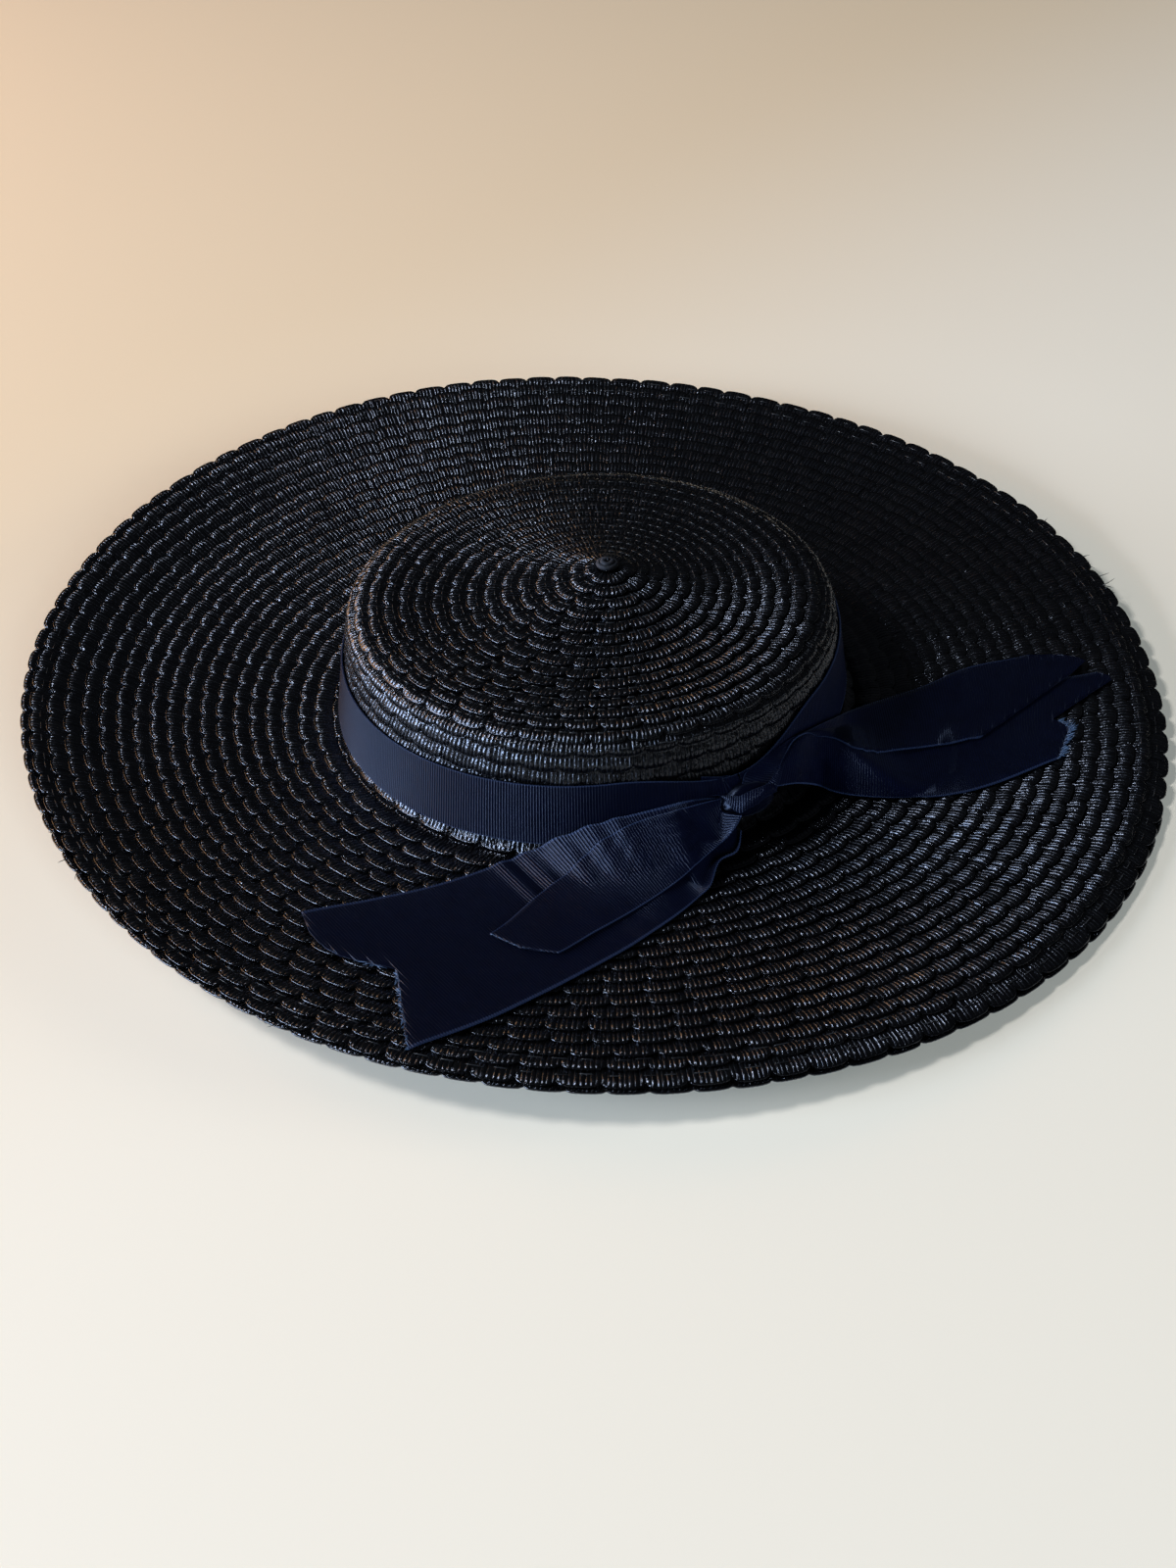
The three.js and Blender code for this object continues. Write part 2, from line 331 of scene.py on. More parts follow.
class BrimGuide:
    """The brim's upper face, followed by the distance out from the crown's foot."""

    START = 92.6 * MM
    STEP = 0.5 * MM

    def __init__(self, form: HatForm) -> None:
        """Keeps the form that the brim follows."""
        self.form = form
        self.total = form.brim_radius - self.START

    def radius(self, distance: Array) -> Array:
        """Mean distance from the axis at distances from the crown's foot."""
        return self.START + distance

    def place(self, distance: Array, angle: Array) -> tuple[Array, Array]:
        """Finds points on the brim.

        Args:
            distance: Distances from the crown's foot, on a brim of mean width.
            angle: Angles round the axis.

        Returns:
            The points and the upward directions there.
        """
        form = self.form
        radius = self.START + distance / self.total * (form.edge_radius(angle) - self.START)
        height = form.brim_height(radius, angle)
        beyond = form.brim_height(radius + self.STEP, angle)
        before = form.brim_height(radius - self.STEP, angle)
        slope = (beyond - before) / 2
        turn = self.STEP / radius
        twist = (form.brim_height(radius, angle + turn) - form.brim_height(radius, angle - turn)) / 2
        along = np.stack((np.cos(angle), np.sin(angle), slope / self.STEP), axis=-1)
        aside = np.stack((-np.sin(angle), np.cos(angle), twist / self.STEP), axis=-1)
        upward = np.cross(along, aside)
        upward /= np.linalg.norm(upward, axis=-1)[..., None]
        return polar(radius, angle, height), upward


# Finishes


class Nodes:
    """A node tree with short calls to add and join nodes."""

    def __init__(self, tree: NodeTree) -> None:
        """Keeps the tree that the calls work on."""
        self.tree = tree

    def add(self, kind: str, inputs: dict | None = None, **settings) -> bpy.types.Node:
        """Adds a node.

        Args:
            kind: The node's type.
            inputs: A value or a socket for each named or numbered input.
            settings: The node's own properties.

        Returns:
            The new node.
        """
        node = self.tree.nodes.new(kind)
        for name, value in settings.items():
            setattr(node, name, value)
        for name, value in (inputs or {}).items():
            self.feed(node.inputs[name], value)
        return node

    def feed(self, target: Socket, value: object) -> None:
        """Joins a socket to an input, or sets the input's own value.

        Args:
            target: The input.
            value: The socket, or the value.
        """
        if isinstance(value, Socket):
            self.tree.links.new(value, target)
        else:
            target.default_value = value

    def math(self, operation: str, *values: object) -> Socket:
        """Puts out a sum, product or other operation of up to three values."""
        return self.add("ShaderNodeMath", dict(enumerate(values)), operation=operation).outputs[0]

    def span(self, value: object, low: object, high: object) -> Socket:
        """Spreads a value from 0 and 1 to low and high."""
        ends = {"Value": value, "To Min": low, "To Max": high}
        return self.add("ShaderNodeMapRange", ends).outputs["Result"]

    def pattern(self) -> Sockets:
        """Puts out the parts of the piece's pattern map, along it in X and across it in Y."""
        place = self.add("ShaderNodeUVMap", uv_map=PATTERN_MAP).outputs["UV"]
        return self.add("ShaderNodeSeparateXYZ", {"Vector": place}).outputs

    def hump(self, phase: Socket) -> Socket:
        """Puts out a round hump, 0 at both ends of a phase from 0 to 1."""
        off_middle = self.math("ABSOLUTE", self.math("MULTIPLY_ADD", phase, 2.0, -1.0))
        return self.math("SUBTRACT", 1.0, self.math("POWER", off_middle, 2.0))


class Effects:
    """Shader node groups that more than one finish uses, each built once."""

    _built: dict[str, NodeTree] = {}

    @classmethod
    def _start(
        cls, name: str, inputs: dict[str, float], outputs: tuple[str, ...]
    ) -> tuple[Nodes, Sockets, Sockets]:
        """Opens a new group.

        Args:
            name: The group's name.
            inputs: Its number inputs and their usual values.
            outputs: Its number outputs.

        Returns:
            The group's nodes, its input sockets and its output sockets.
        """
        tree = bpy.data.node_groups.new(name, "ShaderNodeTree")
        for label, usual in inputs.items():
            socket = tree.interface.new_socket(label, in_out="INPUT", socket_type="NodeSocketFloat")
            socket.default_value = usual
        for label in outputs:
            tree.interface.new_socket(label, in_out="OUTPUT", socket_type="NodeSocketFloat")
        nodes = Nodes(tree)
        start = nodes.add("NodeGroupInput")
        end = nodes.add("NodeGroupOutput")
        cls._built[name] = tree
        return nodes, start.outputs, end.inputs

    @classmethod
    def mottle(cls) -> NodeTree:
        """Soft uneven tone over the surface, from its place on the hat.

        Returns:
            The group.
        """
        if "mottle" in cls._built:
            return cls._built["mottle"]
        nodes, given, result = cls._start("mottle", {"Scale": 60.0, "Low": 0.0, "High": 1.0}, ("Value",))
        place = nodes.add("ShaderNodeTexCoord").outputs["Object"]
        noise = nodes.add("ShaderNodeTexNoise", {"Vector": place, "Scale": given["Scale"], "Detail": 4.0})
        nodes.feed(result["Value"], nodes.span(noise.outputs["Fac"], given["Low"], given["High"]))
        return cls._built["mottle"]

    @classmethod
    def streaks(cls) -> NodeTree:
        """Round strands side by side, from the piece's pattern map, each with fibres and a tone of its own.

        Returns:
            The group.
        """
        if "streaks" in cls._built:
            return cls._built["streaks"]
        usual = {"Strand Width": 0.0015, "Fibres": 6.0}
        nodes, given, result = cls._start("streaks", usual, ("Height", "Tone", "Round"))
        parts = nodes.pattern()
        along = nodes.math("DIVIDE", parts["X"], given["Strand Width"])
        strand = nodes.math("FLOOR", along)
        row = nodes.math("FLOOR", parts["Y"])
        key = nodes.add("ShaderNodeCombineXYZ", {"X": strand, "Y": row}).outputs[0]
        tone = nodes.add("ShaderNodeTexWhiteNoise", {"Vector": key}, noise_dimensions="2D").outputs["Value"]
        fine = nodes.math("MULTIPLY", along, given["Fibres"])
        slow = nodes.math("MULTIPLY", parts["Y"], 3.0)
        grain_place = nodes.add("ShaderNodeCombineXYZ", {"X": fine, "Y": slow}).outputs[0]
        grain = nodes.add("ShaderNodeTexNoise", {"Vector": grain_place, "Scale": 1.0, "Detail": 2.0})
        nodes.feed(result["Height"], grain.outputs["Fac"])
        nodes.feed(result["Tone"], tone)
        nodes.feed(result["Round"], nodes.math("SQRT", nodes.hump(nodes.math("FRACT", along))))
        return cls._built["streaks"]


class Finish:
    """A material with a Principled shader, opened for a finish to fill in."""

    FIRST_COLOUR = 6
    LAST_COLOUR = 7
    MIXED_COLOUR = 2

    def __init__(self, name: str) -> None:
        """Makes the material and its empty shader.

        Args:
            name: The material's name.
        """
        self.material = bpy.data.materials.new(name)
        self.material.use_nodes = True
        self.nodes = Nodes(self.material.node_tree)
        self.shader = self.material.node_tree.nodes["Principled BSDF"]

    def group(self, tree: NodeTree, inputs: dict[str, float]) -> bpy.types.Node:
        """Places a shared effect with its own values."""
        return self.nodes.add("ShaderNodeGroup", inputs, node_tree=tree)

    def set(self, **values: object) -> None:
        """Sets or joins the shader's inputs, named with underscores for spaces."""
        for name, value in values.items():
            self.nodes.feed(self.shader.inputs[name.replace("_", " ")], value)

    def between(self, share: Socket, first: Triple | Socket, last: Triple) -> Socket:
        """Puts out a colour between two.

        Args:
            share: 0 for the first colour, 1 for the last.
            first: The first colour.
            last: The last colour.

        Returns:
            The colour's socket.
        """
        start = (*first, 1.0) if isinstance(first, tuple) else first
        inputs = {"Factor": share, self.FIRST_COLOUR: start, self.LAST_COLOUR: (*last, 1.0)}
        return self.nodes.add("ShaderNodeMix", inputs, data_type="RGBA").outputs[self.MIXED_COLOUR]


@dataclass(frozen=True)
class StrawFinish:
    """Glossy black straw, each strand with its own tone and fibres along it."""

    name: str = "straw_black"
    dark: Triple = (0.0003, 0.0003, 0.0004)
    light: Triple = (0.0014, 0.0013, 0.0014)
    roughness: Pair = (0.12, 0.30)
    strand_width: float = 1.5 * MM
    strand_depth: float = 0.2
    fibre_depth: float = 0.06
    crumple_scale: float = 650.0
    crumple_depth: float = 0.35
    gap_dullness: float = 0.6
    edge_strand: Pair = (0.60, 0.08)
    dull_scale: float = 900.0
    specular: float = 0.84
    tint: Triple = (0.74, 0.81, 1.0)

    def material(self) -> Material:
        """Builds the material.

        Returns:
            The material.
        """
        finish = Finish(self.name)
        streaks = finish.group(Effects.streaks(), {"Strand Width": self.strand_width}).outputs
        smooth, rough = self.roughness
        mottle = finish.group(Effects.mottle(), {"Scale": self.dull_scale, "Low": smooth, "High": rough})
        nodes = finish.nodes
        across = nodes.math("FRACT", nodes.pattern()["Y"])
        plain = nodes.math("COMPARE", across, *self.edge_strand)
        ribbed = nodes.math("MULTIPLY", nodes.math("SUBTRACT", 1.0, plain), self.strand_depth)
        relief = nodes.math("MULTIPLY", streaks["Round"], ribbed)
        relief = nodes.math("MULTIPLY_ADD", streaks["Height"], self.fibre_depth, relief)
        crumple = finish.group(Effects.mottle(), {"Scale": self.crumple_scale, "High": self.crumple_depth})
        relief = nodes.math("ADD", relief, crumple.outputs["Value"])
        bump = nodes.add("ShaderNodeBump", {"Height": relief, "Distance": MM})
        gap = nodes.math("POWER", nodes.math("SUBTRACT", 1.0, streaks["Round"]), 2.0)
        gap = nodes.math("MULTIPLY", gap, nodes.math("SUBTRACT", 1.0, plain))
        finish.set(
            Base_Color=finish.between(streaks["Tone"], self.dark, self.light),
            Roughness=nodes.math("MULTIPLY_ADD", gap, self.gap_dullness, mottle.outputs["Value"]),
            Specular_IOR_Level=self.specular,
            Specular_Tint=(*self.tint, 1.0),
            Normal=bump.outputs["Normal"],
        )
        return finish.material


@dataclass(frozen=True)
class RibbonFinish:
    """Dark navy grosgrain: ribs across the ribbon, a firm edge, a soft sheen."""

    name: str = "ribbon_navy"
    dark: Triple = (0.0005, 0.0007, 0.0030)
    light: Triple = (0.0020, 0.0030, 0.0118)
    edge: Triple = (0.012, 0.018, 0.042)
    selvage_from: float = 0.485
    selvage_share: float = 0.8
    tone_scale: float = 220.0
    thread: float = 0.35 * MM
    thread_depth: float = 0.02 * MM
    roughness: Pair = (0.38, 0.45)
    specular: float = 0.34
    tint: Triple = (0.50, 0.64, 1.0)
    stretch: float = 0.95
    stretch_turn: float = 0.25
    sheen: float = 0.02
    sheen_roughness: float = 0.4
    sheen_tint: Triple = (0.55, 0.65, 1.0)

    def material(self) -> Material:
        """Builds the material. The pattern map runs along the ribbon in metres and across it from 0 to 1.

        Returns:
            The material.
        """
        finish = Finish(self.name)
        nodes = finish.nodes
        parts = nodes.pattern()
        rounded = nodes.hump(nodes.math("FRACT", nodes.math("DIVIDE", parts["X"], RIB_PITCH)))
        off_middle = nodes.math("ABSOLUTE", nodes.math("SUBTRACT", parts["Y"], 0.5))
        selvage = nodes.math("GREATER_THAN", off_middle, self.selvage_from)
        mottle = finish.group(Effects.mottle(), {"Scale": self.tone_scale}).outputs["Value"]
        # Painted shade: the colour is darker in the rib valleys and lighter on the rib crests, times a
        # random mottle.
        tone = nodes.math("MULTIPLY", rounded, mottle)
        cloth_with_painted_rib_shade = finish.between(tone, self.dark, self.light)
        edged = finish.between(nodes.math("MULTIPLY", selvage, self.selvage_share), cloth_with_painted_rib_shade, self.edge)
        threads = finish.group(Effects.mottle(), {"Scale": 1.0 / self.thread}).outputs["Value"]
        bump = nodes.add("ShaderNodeBump", {"Height": threads, "Distance": self.thread_depth})
        tangent = nodes.add("ShaderNodeTangent", direction_type="UV_MAP", uv_map=PATTERN_MAP)
        finish.set(
            Base_Color=edged,
            Roughness=nodes.span(mottle, *self.roughness),
            Specular_IOR_Level=self.specular,
            Specular_Tint=(*self.tint, 1.0),
            Anisotropic=self.stretch,
            Anisotropic_Rotation=self.stretch_turn,
            Tangent=tangent.outputs["Tangent"],
            Sheen_Weight=self.sheen,
            Sheen_Roughness=self.sheen_roughness,
            Sheen_Tint=(*self.sheen_tint, 1.0),
            Normal=bump.outputs["Normal"],
        )
        return finish.material


@dataclass(frozen=True)
class ThreadFinish:
    """Plain thread, with fibres along it."""

    name: str
    dark: Triple
    light: Triple
    roughness: float
    strand: float = 0.4 * MM
    fibre_depth: float = 0.04 * MM

    def material(self) -> Material:
        """Builds the material.

        Returns:
            The material.
        """
        finish = Finish(self.name)
        streaks = finish.group(Effects.streaks(), {"Strand Width": self.strand}).outputs
        relief = {"Height": streaks["Height"], "Distance": self.fibre_depth}
        bump = finish.nodes.add("ShaderNodeBump", relief)
        finish.set(
            Base_Color=finish.between(streaks["Tone"], self.dark, self.light),
            Roughness=self.roughness,
            Normal=bump.outputs["Normal"],
        )
        return finish.material


@dataclass(frozen=True)
class TableFinish:
    """A plain pale table top, with painted warm shade toward its left back corner, where it is darker and
    warmer.
    """

    name: str = "table_cream"
    painted_warm_shade: Triple = (0.65, 0.50, 0.34)
    pale: Triple = (0.72, 0.63, 0.515)
    across: Triple = (0.75, -0.66, 0.0)
    painted_shade_at: float = -340.0 * MM
    pale_at: float = 60.0 * MM
    roughness: float = 0.6
    specular: float = 0.25

    def material(self) -> Material:
        """Builds the material.

        Returns:
            The material.
        """
        finish = Finish(self.name)
        nodes = finish.nodes
        # Painted warm shade: the colour darkens and warms toward the left back corner.
        place = nodes.add("ShaderNodeTexCoord").outputs["Object"]
        way = nodes.add("ShaderNodeVectorMath", {0: place, 1: self.across}, operation="DOT_PRODUCT")
        ends = {"Value": way.outputs["Value"], "From Min": self.painted_shade_at, "From Max": self.pale_at}
        share = nodes.add("ShaderNodeMapRange", ends, interpolation_type="SMOOTHSTEP").outputs["Result"]
        finish.set(
            Base_Color=finish.between(share, self.painted_warm_shade, self.pale),
            Roughness=self.roughness,
            Specular_IOR_Level=self.specular,
        )
        return finish.material


# Straw braid


class SectionPoint(NamedTuple):
    """One point of the braid's section.

    share is the place across the row that shows, 0 inside and 1 at the edge. offset adds to it in rows,
    scallop is how far the point follows the scalloped edge, height is over the hat's form in millimetres,
    rib is how much of a rib's height it takes and pattern is its place on the pattern map.
    """

    share: float
    offset: float
    scallop: float
    height: float
    rib: float
    pattern: float


BRAID_SECTION = (
    SectionPoint(0.00, -0.50, 0.00, -1.55, 0.2, 0.02),
    SectionPoint(0.00, -0.28, 0.00, -1.20, 0.6, 0.10),
    SectionPoint(0.17, 0.00, 0.10, -0.85, 1.0, 0.22),
    SectionPoint(0.40, 0.00, 0.30, -0.22, 1.0, 0.33),
    SectionPoint(0.64, 0.00, 0.58, 0.02, 1.0, 0.42),
    SectionPoint(1.00, -0.15, 0.95, -0.10, 0.9, 0.50),
    SectionPoint(1.00, -0.10, 1.00, -0.46, 0.2, 0.54),
    SectionPoint(1.00, -0.05, 1.00, -0.08, 0.0, 0.60),
    SectionPoint(1.00, 0.00, 1.00, -0.52, 0.0, 0.66),
    SectionPoint(1.00, -0.08, 1.00, -1.05, 0.2, 0.70),
    SectionPoint(0.00, -0.40, 0.00, -1.85, 0.5, 0.98),
)


@dataclass
class StrawBraid:
    """Scalloped straw braid, wound round a guide in one spiral and sewn row over row.

    Each row's scalloped outer edge lies on the next row. The last turn narrows almost to nothing
    under the one before.
    With a round start, the first turn's inner side follows a circle, so that no slit is left at the crown.
    """

    guide: CrownGuide | BrimGuide
    rows: float
    first_turn: float
    start_angle: float
    seed: int
    scallop: float = 12.2 * MM
    ribs: int = 8
    scallop_depth: float = 0.34
    scallop_rest: float = 0.70
    rib_height: float = 0.20 * MM
    slant: float = -0.04
    lobe_tilt: float = 0.22 * MM
    uneven: float = 0.11 * MM
    rib_drift: float = 0.22
    tuck: float = 0.9 * MM
    least_row: float = 0.12
    length_at: float = 0.6
    size_spread: float = 0.16
    drift_limit: float = 1.8
    rib_twist: float = 0.10 * MM
    twist_about: float = 0.4
    lobe_square: float = 3.2
    lobe_round: float = 0.7
    end_scallop: float = 0.3
    least_distance: float = 0.3 * MM
    least_radius: float = 1.5 * MM
    slant_fades_at: float = 20 * MM
    pattern_end: float = 0.999
    samples: int = 6000
    round_start: bool = False
    start_fades_at: float = 1.1

    def __post_init__(self) -> None:
        """Lays the scallops out along the spiral."""
        self.pitch = self.guide.total / self.rows
        turns = np.linspace(self.first_turn, self.rows - self.least_row, self.samples)
        radius = self.guide.radius(self.pitch * (turns + self.length_at))
        around = 2 * math.pi * np.maximum(radius, self.pitch)
        length = np.concatenate(([0.0], np.cumsum((around[1:] + around[:-1]) / 2 * np.diff(turns))))
        draw = np.random.default_rng(self.seed)
        self.count = int(length[-1] / self.scallop)
        sizes = 1.0 + self.size_spread * (draw.random(self.count) - 0.5)
        ends = np.concatenate(([0.0], np.cumsum(sizes))) * (length[-1] / sizes.sum())
        self.length = ends
        self.turn_at = np.interp(ends, length, turns)
        self.lift = draw.normal(0.0, self.uneven, self.count + 1)
        self.tilt = self.lobe_tilt * spread(draw, self.count + 1, base=0.6, span=0.8)
        self.depth = self.scallop_depth * spread(draw, self.count + 1, base=0.8, span=0.4)
        self.rib_share = spread(draw, (self.count + 1, self.ribs), base=0.5, span=1.0)
        drift = draw.normal(0.0, 1.0, (self.count + 1, 2 * self.ribs))
        self.shift = self.rib_drift * drift.clip(-self.drift_limit, self.drift_limit)
        self.shift[:, 0] = 0.0
        self.rib_roll = draw.normal(0.0, self.rib_twist, (self.count + 1, self.ribs))

    def columns(self, first: int, last: int) -> tuple[Array, Array, Array]:
        """Lists the cross lines of a stretch of scallops.

        Args:
            first: The first scallop.
            last: The scallop after the last one.

        Returns:
            For each line: its scallop, its step in the scallop and the turn that it is at.
        """
        steps = 2 * self.ribs
        number = np.repeat(np.arange(first, last), steps)
        step = np.tile(np.arange(steps), last - first)
        number = np.append(number, last)
        step = np.append(step, 0)
        following = np.minimum(number + 1, self.count)
        part = (step + self.shift[number, step]) / steps
        turn = self.turn_at[number] * (1 - part) + self.turn_at[following] * part
        return number, step, turn

    def surface(self, number: Array, step: Array, turn: Array, point: SectionPoint) -> Array:
        """Places one point of the section on every cross line.

        Args:
            number: Each line's scallop.
            step: Each line's step in its scallop.
            turn: The turn that each line is at.
            point: The point of the section.

        Returns:
            The places, in metres.
        """
        part = (step + self.shift[number, step]) / (2 * self.ribs)
        lobe = (1.0 - np.abs(2.0 * part - 1.0) ** self.lobe_square) ** self.lobe_round
        edge = self.depth[number] * (lobe - self.scallop_rest)
        shown = np.clip(self.rows - turn, 0.0, 1.0)
        scallop = point.scallop * edge * np.minimum(1.0, shown + self.end_scallop)
        across = point.share * shown + point.offset + scallop
        if self.round_start and point.share == 0.0:
            across = across - turn * (1.0 - smoothstep(turn, 1.0, self.start_fades_at))
        distance = np.maximum((turn + across) * self.pitch, self.least_distance)
        radius = np.maximum(self.guide.radius(distance), self.least_radius)
        lean = self.slant * self.pitch * (point.share + point.offset - 0.5) / radius
        lean = lean * np.minimum(1.0, radius / self.slant_fades_at)
        angle = self.start_angle + 2 * math.pi * turn + lean
        places, outward = self.guide.place(distance, angle)
        rib = np.minimum(step // 2, self.ribs - 1)
        crest = np.where(step % 2 == 1, 1.0, -1.0)
        height = point.height * MM - (1.0 - shown) * self.tuck
        height = height + point.rib * self.rib_height * crest * self.rib_share[number, rib]
        height = height + point.share * (self.lift[number] + self.tilt[number] * (part - 0.5))
        twist = self.rib_roll[number, rib] * (point.share - self.twist_about)
        height = height + point.rib * twist * (step % 2)
        return places + outward * height[:, None]

    def build(self, name: str, first: int, last: int) -> Piece:
        """Makes one stretch of the braid as a closed strip.

        Args:
            name: The piece's name.
            first: Its first scallop.
            last: The scallop after its last one.

        Returns:
            The finished object.
        """
        number, step, turn = self.columns(first, last)
        along = (number * self.ribs + step / 2) * StrawFinish.strand_width
        points = np.stack([self.surface(number, step, turn, point) for point in BRAID_SECTION], axis=1)
        points[..., 2] = np.maximum(points[..., 2], 0.0)
        lines, size = points.shape[:2]
        corner = np.arange(lines * size).reshape(lines, size)
        ahead = np.roll(corner, -1, axis=1)
        quads = np.stack((corner[:-1], ahead[:-1], ahead[1:], corner[1:]), axis=-1).reshape(-1, 4)
        row = np.floor(turn)
        across = np.array([point.pattern for point in BRAID_SECTION] + [self.pattern_end])
        low = np.stack(np.broadcast_arrays(along[:, None], row[:, None] + across[None, :-1]), axis=-1)
        high = np.stack(np.broadcast_arrays(along[:, None], row[:, None] + across[None, 1:]), axis=-1)
        places = np.stack((low[:-1], high[:-1], high[1:], low[1:]), axis=2).reshape(-1, 4, 2)
        caps = []
        for end, turned in ((corner[0], False), (corner[-1], True)):
            fan = [(end[0], end[k + 1], end[k], end[k]) for k in range(1, size - 1)]
            caps += [(a, c, b, b) for a, b, c, _ in fan] if turned else fan
        quads = np.concatenate((quads, np.array(caps)))
        places = np.concatenate((places, np.zeros((len(caps), 4, 2))))
        piece = mesh_from_arrays(name, points.reshape(-1, 3), quads, places)
        valley = np.where(step % 2 == 0, np.arange(lines), -1)
        crease(piece.data, np.repeat(valley, size))
        return piece


def thread_mesh(name: str, paths: Array, thick: Array, sides: int = 3) -> Piece:
    """Makes thin threads as one mesh.

    Args:
        name: The piece's name.
        paths: The threads' middles, by thread and by ring.
        thick: Half of their thickness, by ring.
        sides: How many sides each has.

    Returns:
        The finished object.
    """
    count, rings = paths.shape[:2]
    along = np.gradient(paths, axis=1)
    along /= np.linalg.norm(along, axis=-1, keepdims=True)
    upward = np.array((0.0, 0.0, 1.0)) - along * along[..., 2:]
    least_length = 1e-6
    upward /= np.maximum(np.linalg.norm(upward, axis=-1, keepdims=True), least_length)
    aside = np.cross(along, upward)
    turn = math.pi * (0.5 + 2 * np.arange(sides) / sides)[:, None]
    out = np.cos(turn) * aside[:, :, None] + np.sin(turn) * upward[:, :, None]
    points = paths[:, :, None] + thick[None, :, None, None] * out
    corner = np.arange(count * rings * sides).reshape(count, rings, sides)
    beyond = np.roll(corner, -1, axis=2)
    walls = np.stack((corner[:, :-1], corner[:, 1:], beyond[:, 1:], beyond[:, :-1]), axis=-1)
    faces = [walls.reshape(count, -1, 4)]
    for side in range(1, sides - 1):
        faces.append(corner[:, 0][:, (0, side, side + 1, side + 1)][:, None])
        faces.append(corner[:, -1][:, (0, side + 1, side, side)][:, None])
    quads = np.concatenate(faces, axis=1)
    places = np.zeros((*quads.shape, 2))
    places[..., 0] = np.arange(count)[:, None, None] * MM
    return mesh_from_arrays(name, points.reshape(-1, 3), quads.reshape(-1, 4), places.reshape(-1, 4, 2))


@dataclass
class Stitching:
    """The sewing thread that shows along the middle of the braid's rows."""

    braid: StrawBraid
    seed: int
    spacing: float = 4.1 * MM
    length: float = 2.7 * MM
    thick: float = 0.2 * MM
    share: float = 0.40
    height: float = 0.18 * MM
    wander: float = 0.12
    sway: float = 0.03
    sink: float = 0.9
    RINGS = (-1.0, -0.7, 0.7, 1.0)
    TAPER = (0.15, 1.0, 1.0, 0.15)

    def build(self, name: str, first_turn: float, last_turn: float) -> Piece:
        """Makes the stitches of some turns as one piece.

        Args:
            name: The piece's name.
            first_turn: Where they start.
            last_turn: Where they end.

        Returns:
            The finished object.
        """
        braid = self.braid
        begin, end = np.interp((first_turn, last_turn), braid.turn_at, braid.length)
        middle = np.arange(begin, end, self.spacing)
        draw = np.random.default_rng(self.seed)
        middle = middle + draw.normal(0.0, self.wander, len(middle)) * self.spacing
        half = self.length / 2 * spread(draw, len(middle), base=0.8, span=0.4)
        across = self.share + draw.normal(0.0, self.sway, len(middle))
        rings = []
        for way in self.RINGS:
            turn = np.interp(middle + way * half, braid.length, braid.turn_at)
            angle = braid.start_angle + 2 * math.pi * turn
            places, outward = braid.guide.place((turn + across) * braid.pitch, angle)
            rings.append(places + outward * self.height * (1.0 - self.sink * abs(way) ** 3))
        return thread_mesh(name, np.stack(rings, axis=1), self.thick * np.array(self.TAPER))


@dataclass
class TipCoil:
    """The small coil that the braid starts from, which closes the crown's top."""

    guide: CrownGuide
    turns: float = 2.3
    radius: float = 3.8 * MM
    cord: float = 1.0 * MM
    rise: float = 1.0 * MM
    steps: int = 120
    sides: int = 8
    widening: float = 0.8
    valley: float = 0.8
    end_thick: float = 0.25
    end_slope: float = 15.0

    def build(self) -> Piece:
        """Makes the coil as one piece.

        Returns:
            The finished object.
        """
        way = np.linspace(0.0, 1.0, self.steps)
        places, outward = self.guide.place(self.radius * way**self.widening, 2 * math.pi * self.turns * way)
        middle = places + outward * (self.rise * (1.0 - way))[:, None]
        ribs = np.where(np.arange(self.steps) % 2 == 0, 1.0, self.valley)
        ends = np.clip(np.minimum(way, 1.0 - way) * self.end_slope + self.end_thick, 0.0, 1.0)
        return thread_mesh("crown_tip", middle[None], self.cord * ribs * ends, self.sides)


@dataclass
class LooseStrands:
    """Ends of straw that have come loose at the brim's edge.

    worn_sides gives the middle and the spread of each worn stretch, in degrees. lengths gives the least
    length and what is added at most, in millimetres.
    """

    form: HatForm
    seed: int
    count: int = 26
    thick: float = 0.16 * MM
    worn_sides: tuple[Pair, ...] = ((21.0, 4.0), (14.0, 3.0), (222.0, 16.0), (258.0, 12.0))
    spread_limit: float = 1.5
    lengths: Pair = (2.0, 4.0)
    inset: float = 1.2 * MM
    drop: float = 0.6 * MM
    climb: float = 0.25
    curl: float = 1.5
    RINGS = (0.0, 0.4, 0.75, 1.0)
    TAPER = (1.0, 1.0, 0.8, 0.2)

    def build(self) -> Piece:
        """Makes the strands as one piece.

        Returns:
            The finished object.
        """
        draw = np.random.default_rng(self.seed)
        side = np.array(self.worn_sides)[draw.integers(0, len(self.worn_sides), self.count)]
        off = draw.normal(0.0, 1.0, self.count).clip(-self.spread_limit, self.spread_limit)
        angle = np.radians(side[:, 0] + side[:, 1] * off)
        swing = draw.normal(0.0, 1.0, self.count)
        length = (self.lengths[0] + self.lengths[1] * draw.random(self.count) ** 2) * MM
        edge = self.form.edge_radius(angle)
        rings = []
        for way in self.RINGS:
            radius = edge - self.inset + length * way * np.cos(swing)
            turned = angle + length * way**self.curl * np.sin(swing) / radius
            height = self.form.brim_height(edge, angle) - self.drop + self.climb * length * way
            rings.append(polar(radius, turned, height))
        return thread_mesh("loose_strands", np.stack(rings, axis=1), self.thick * np.array(self.TAPER))


# Ribbon


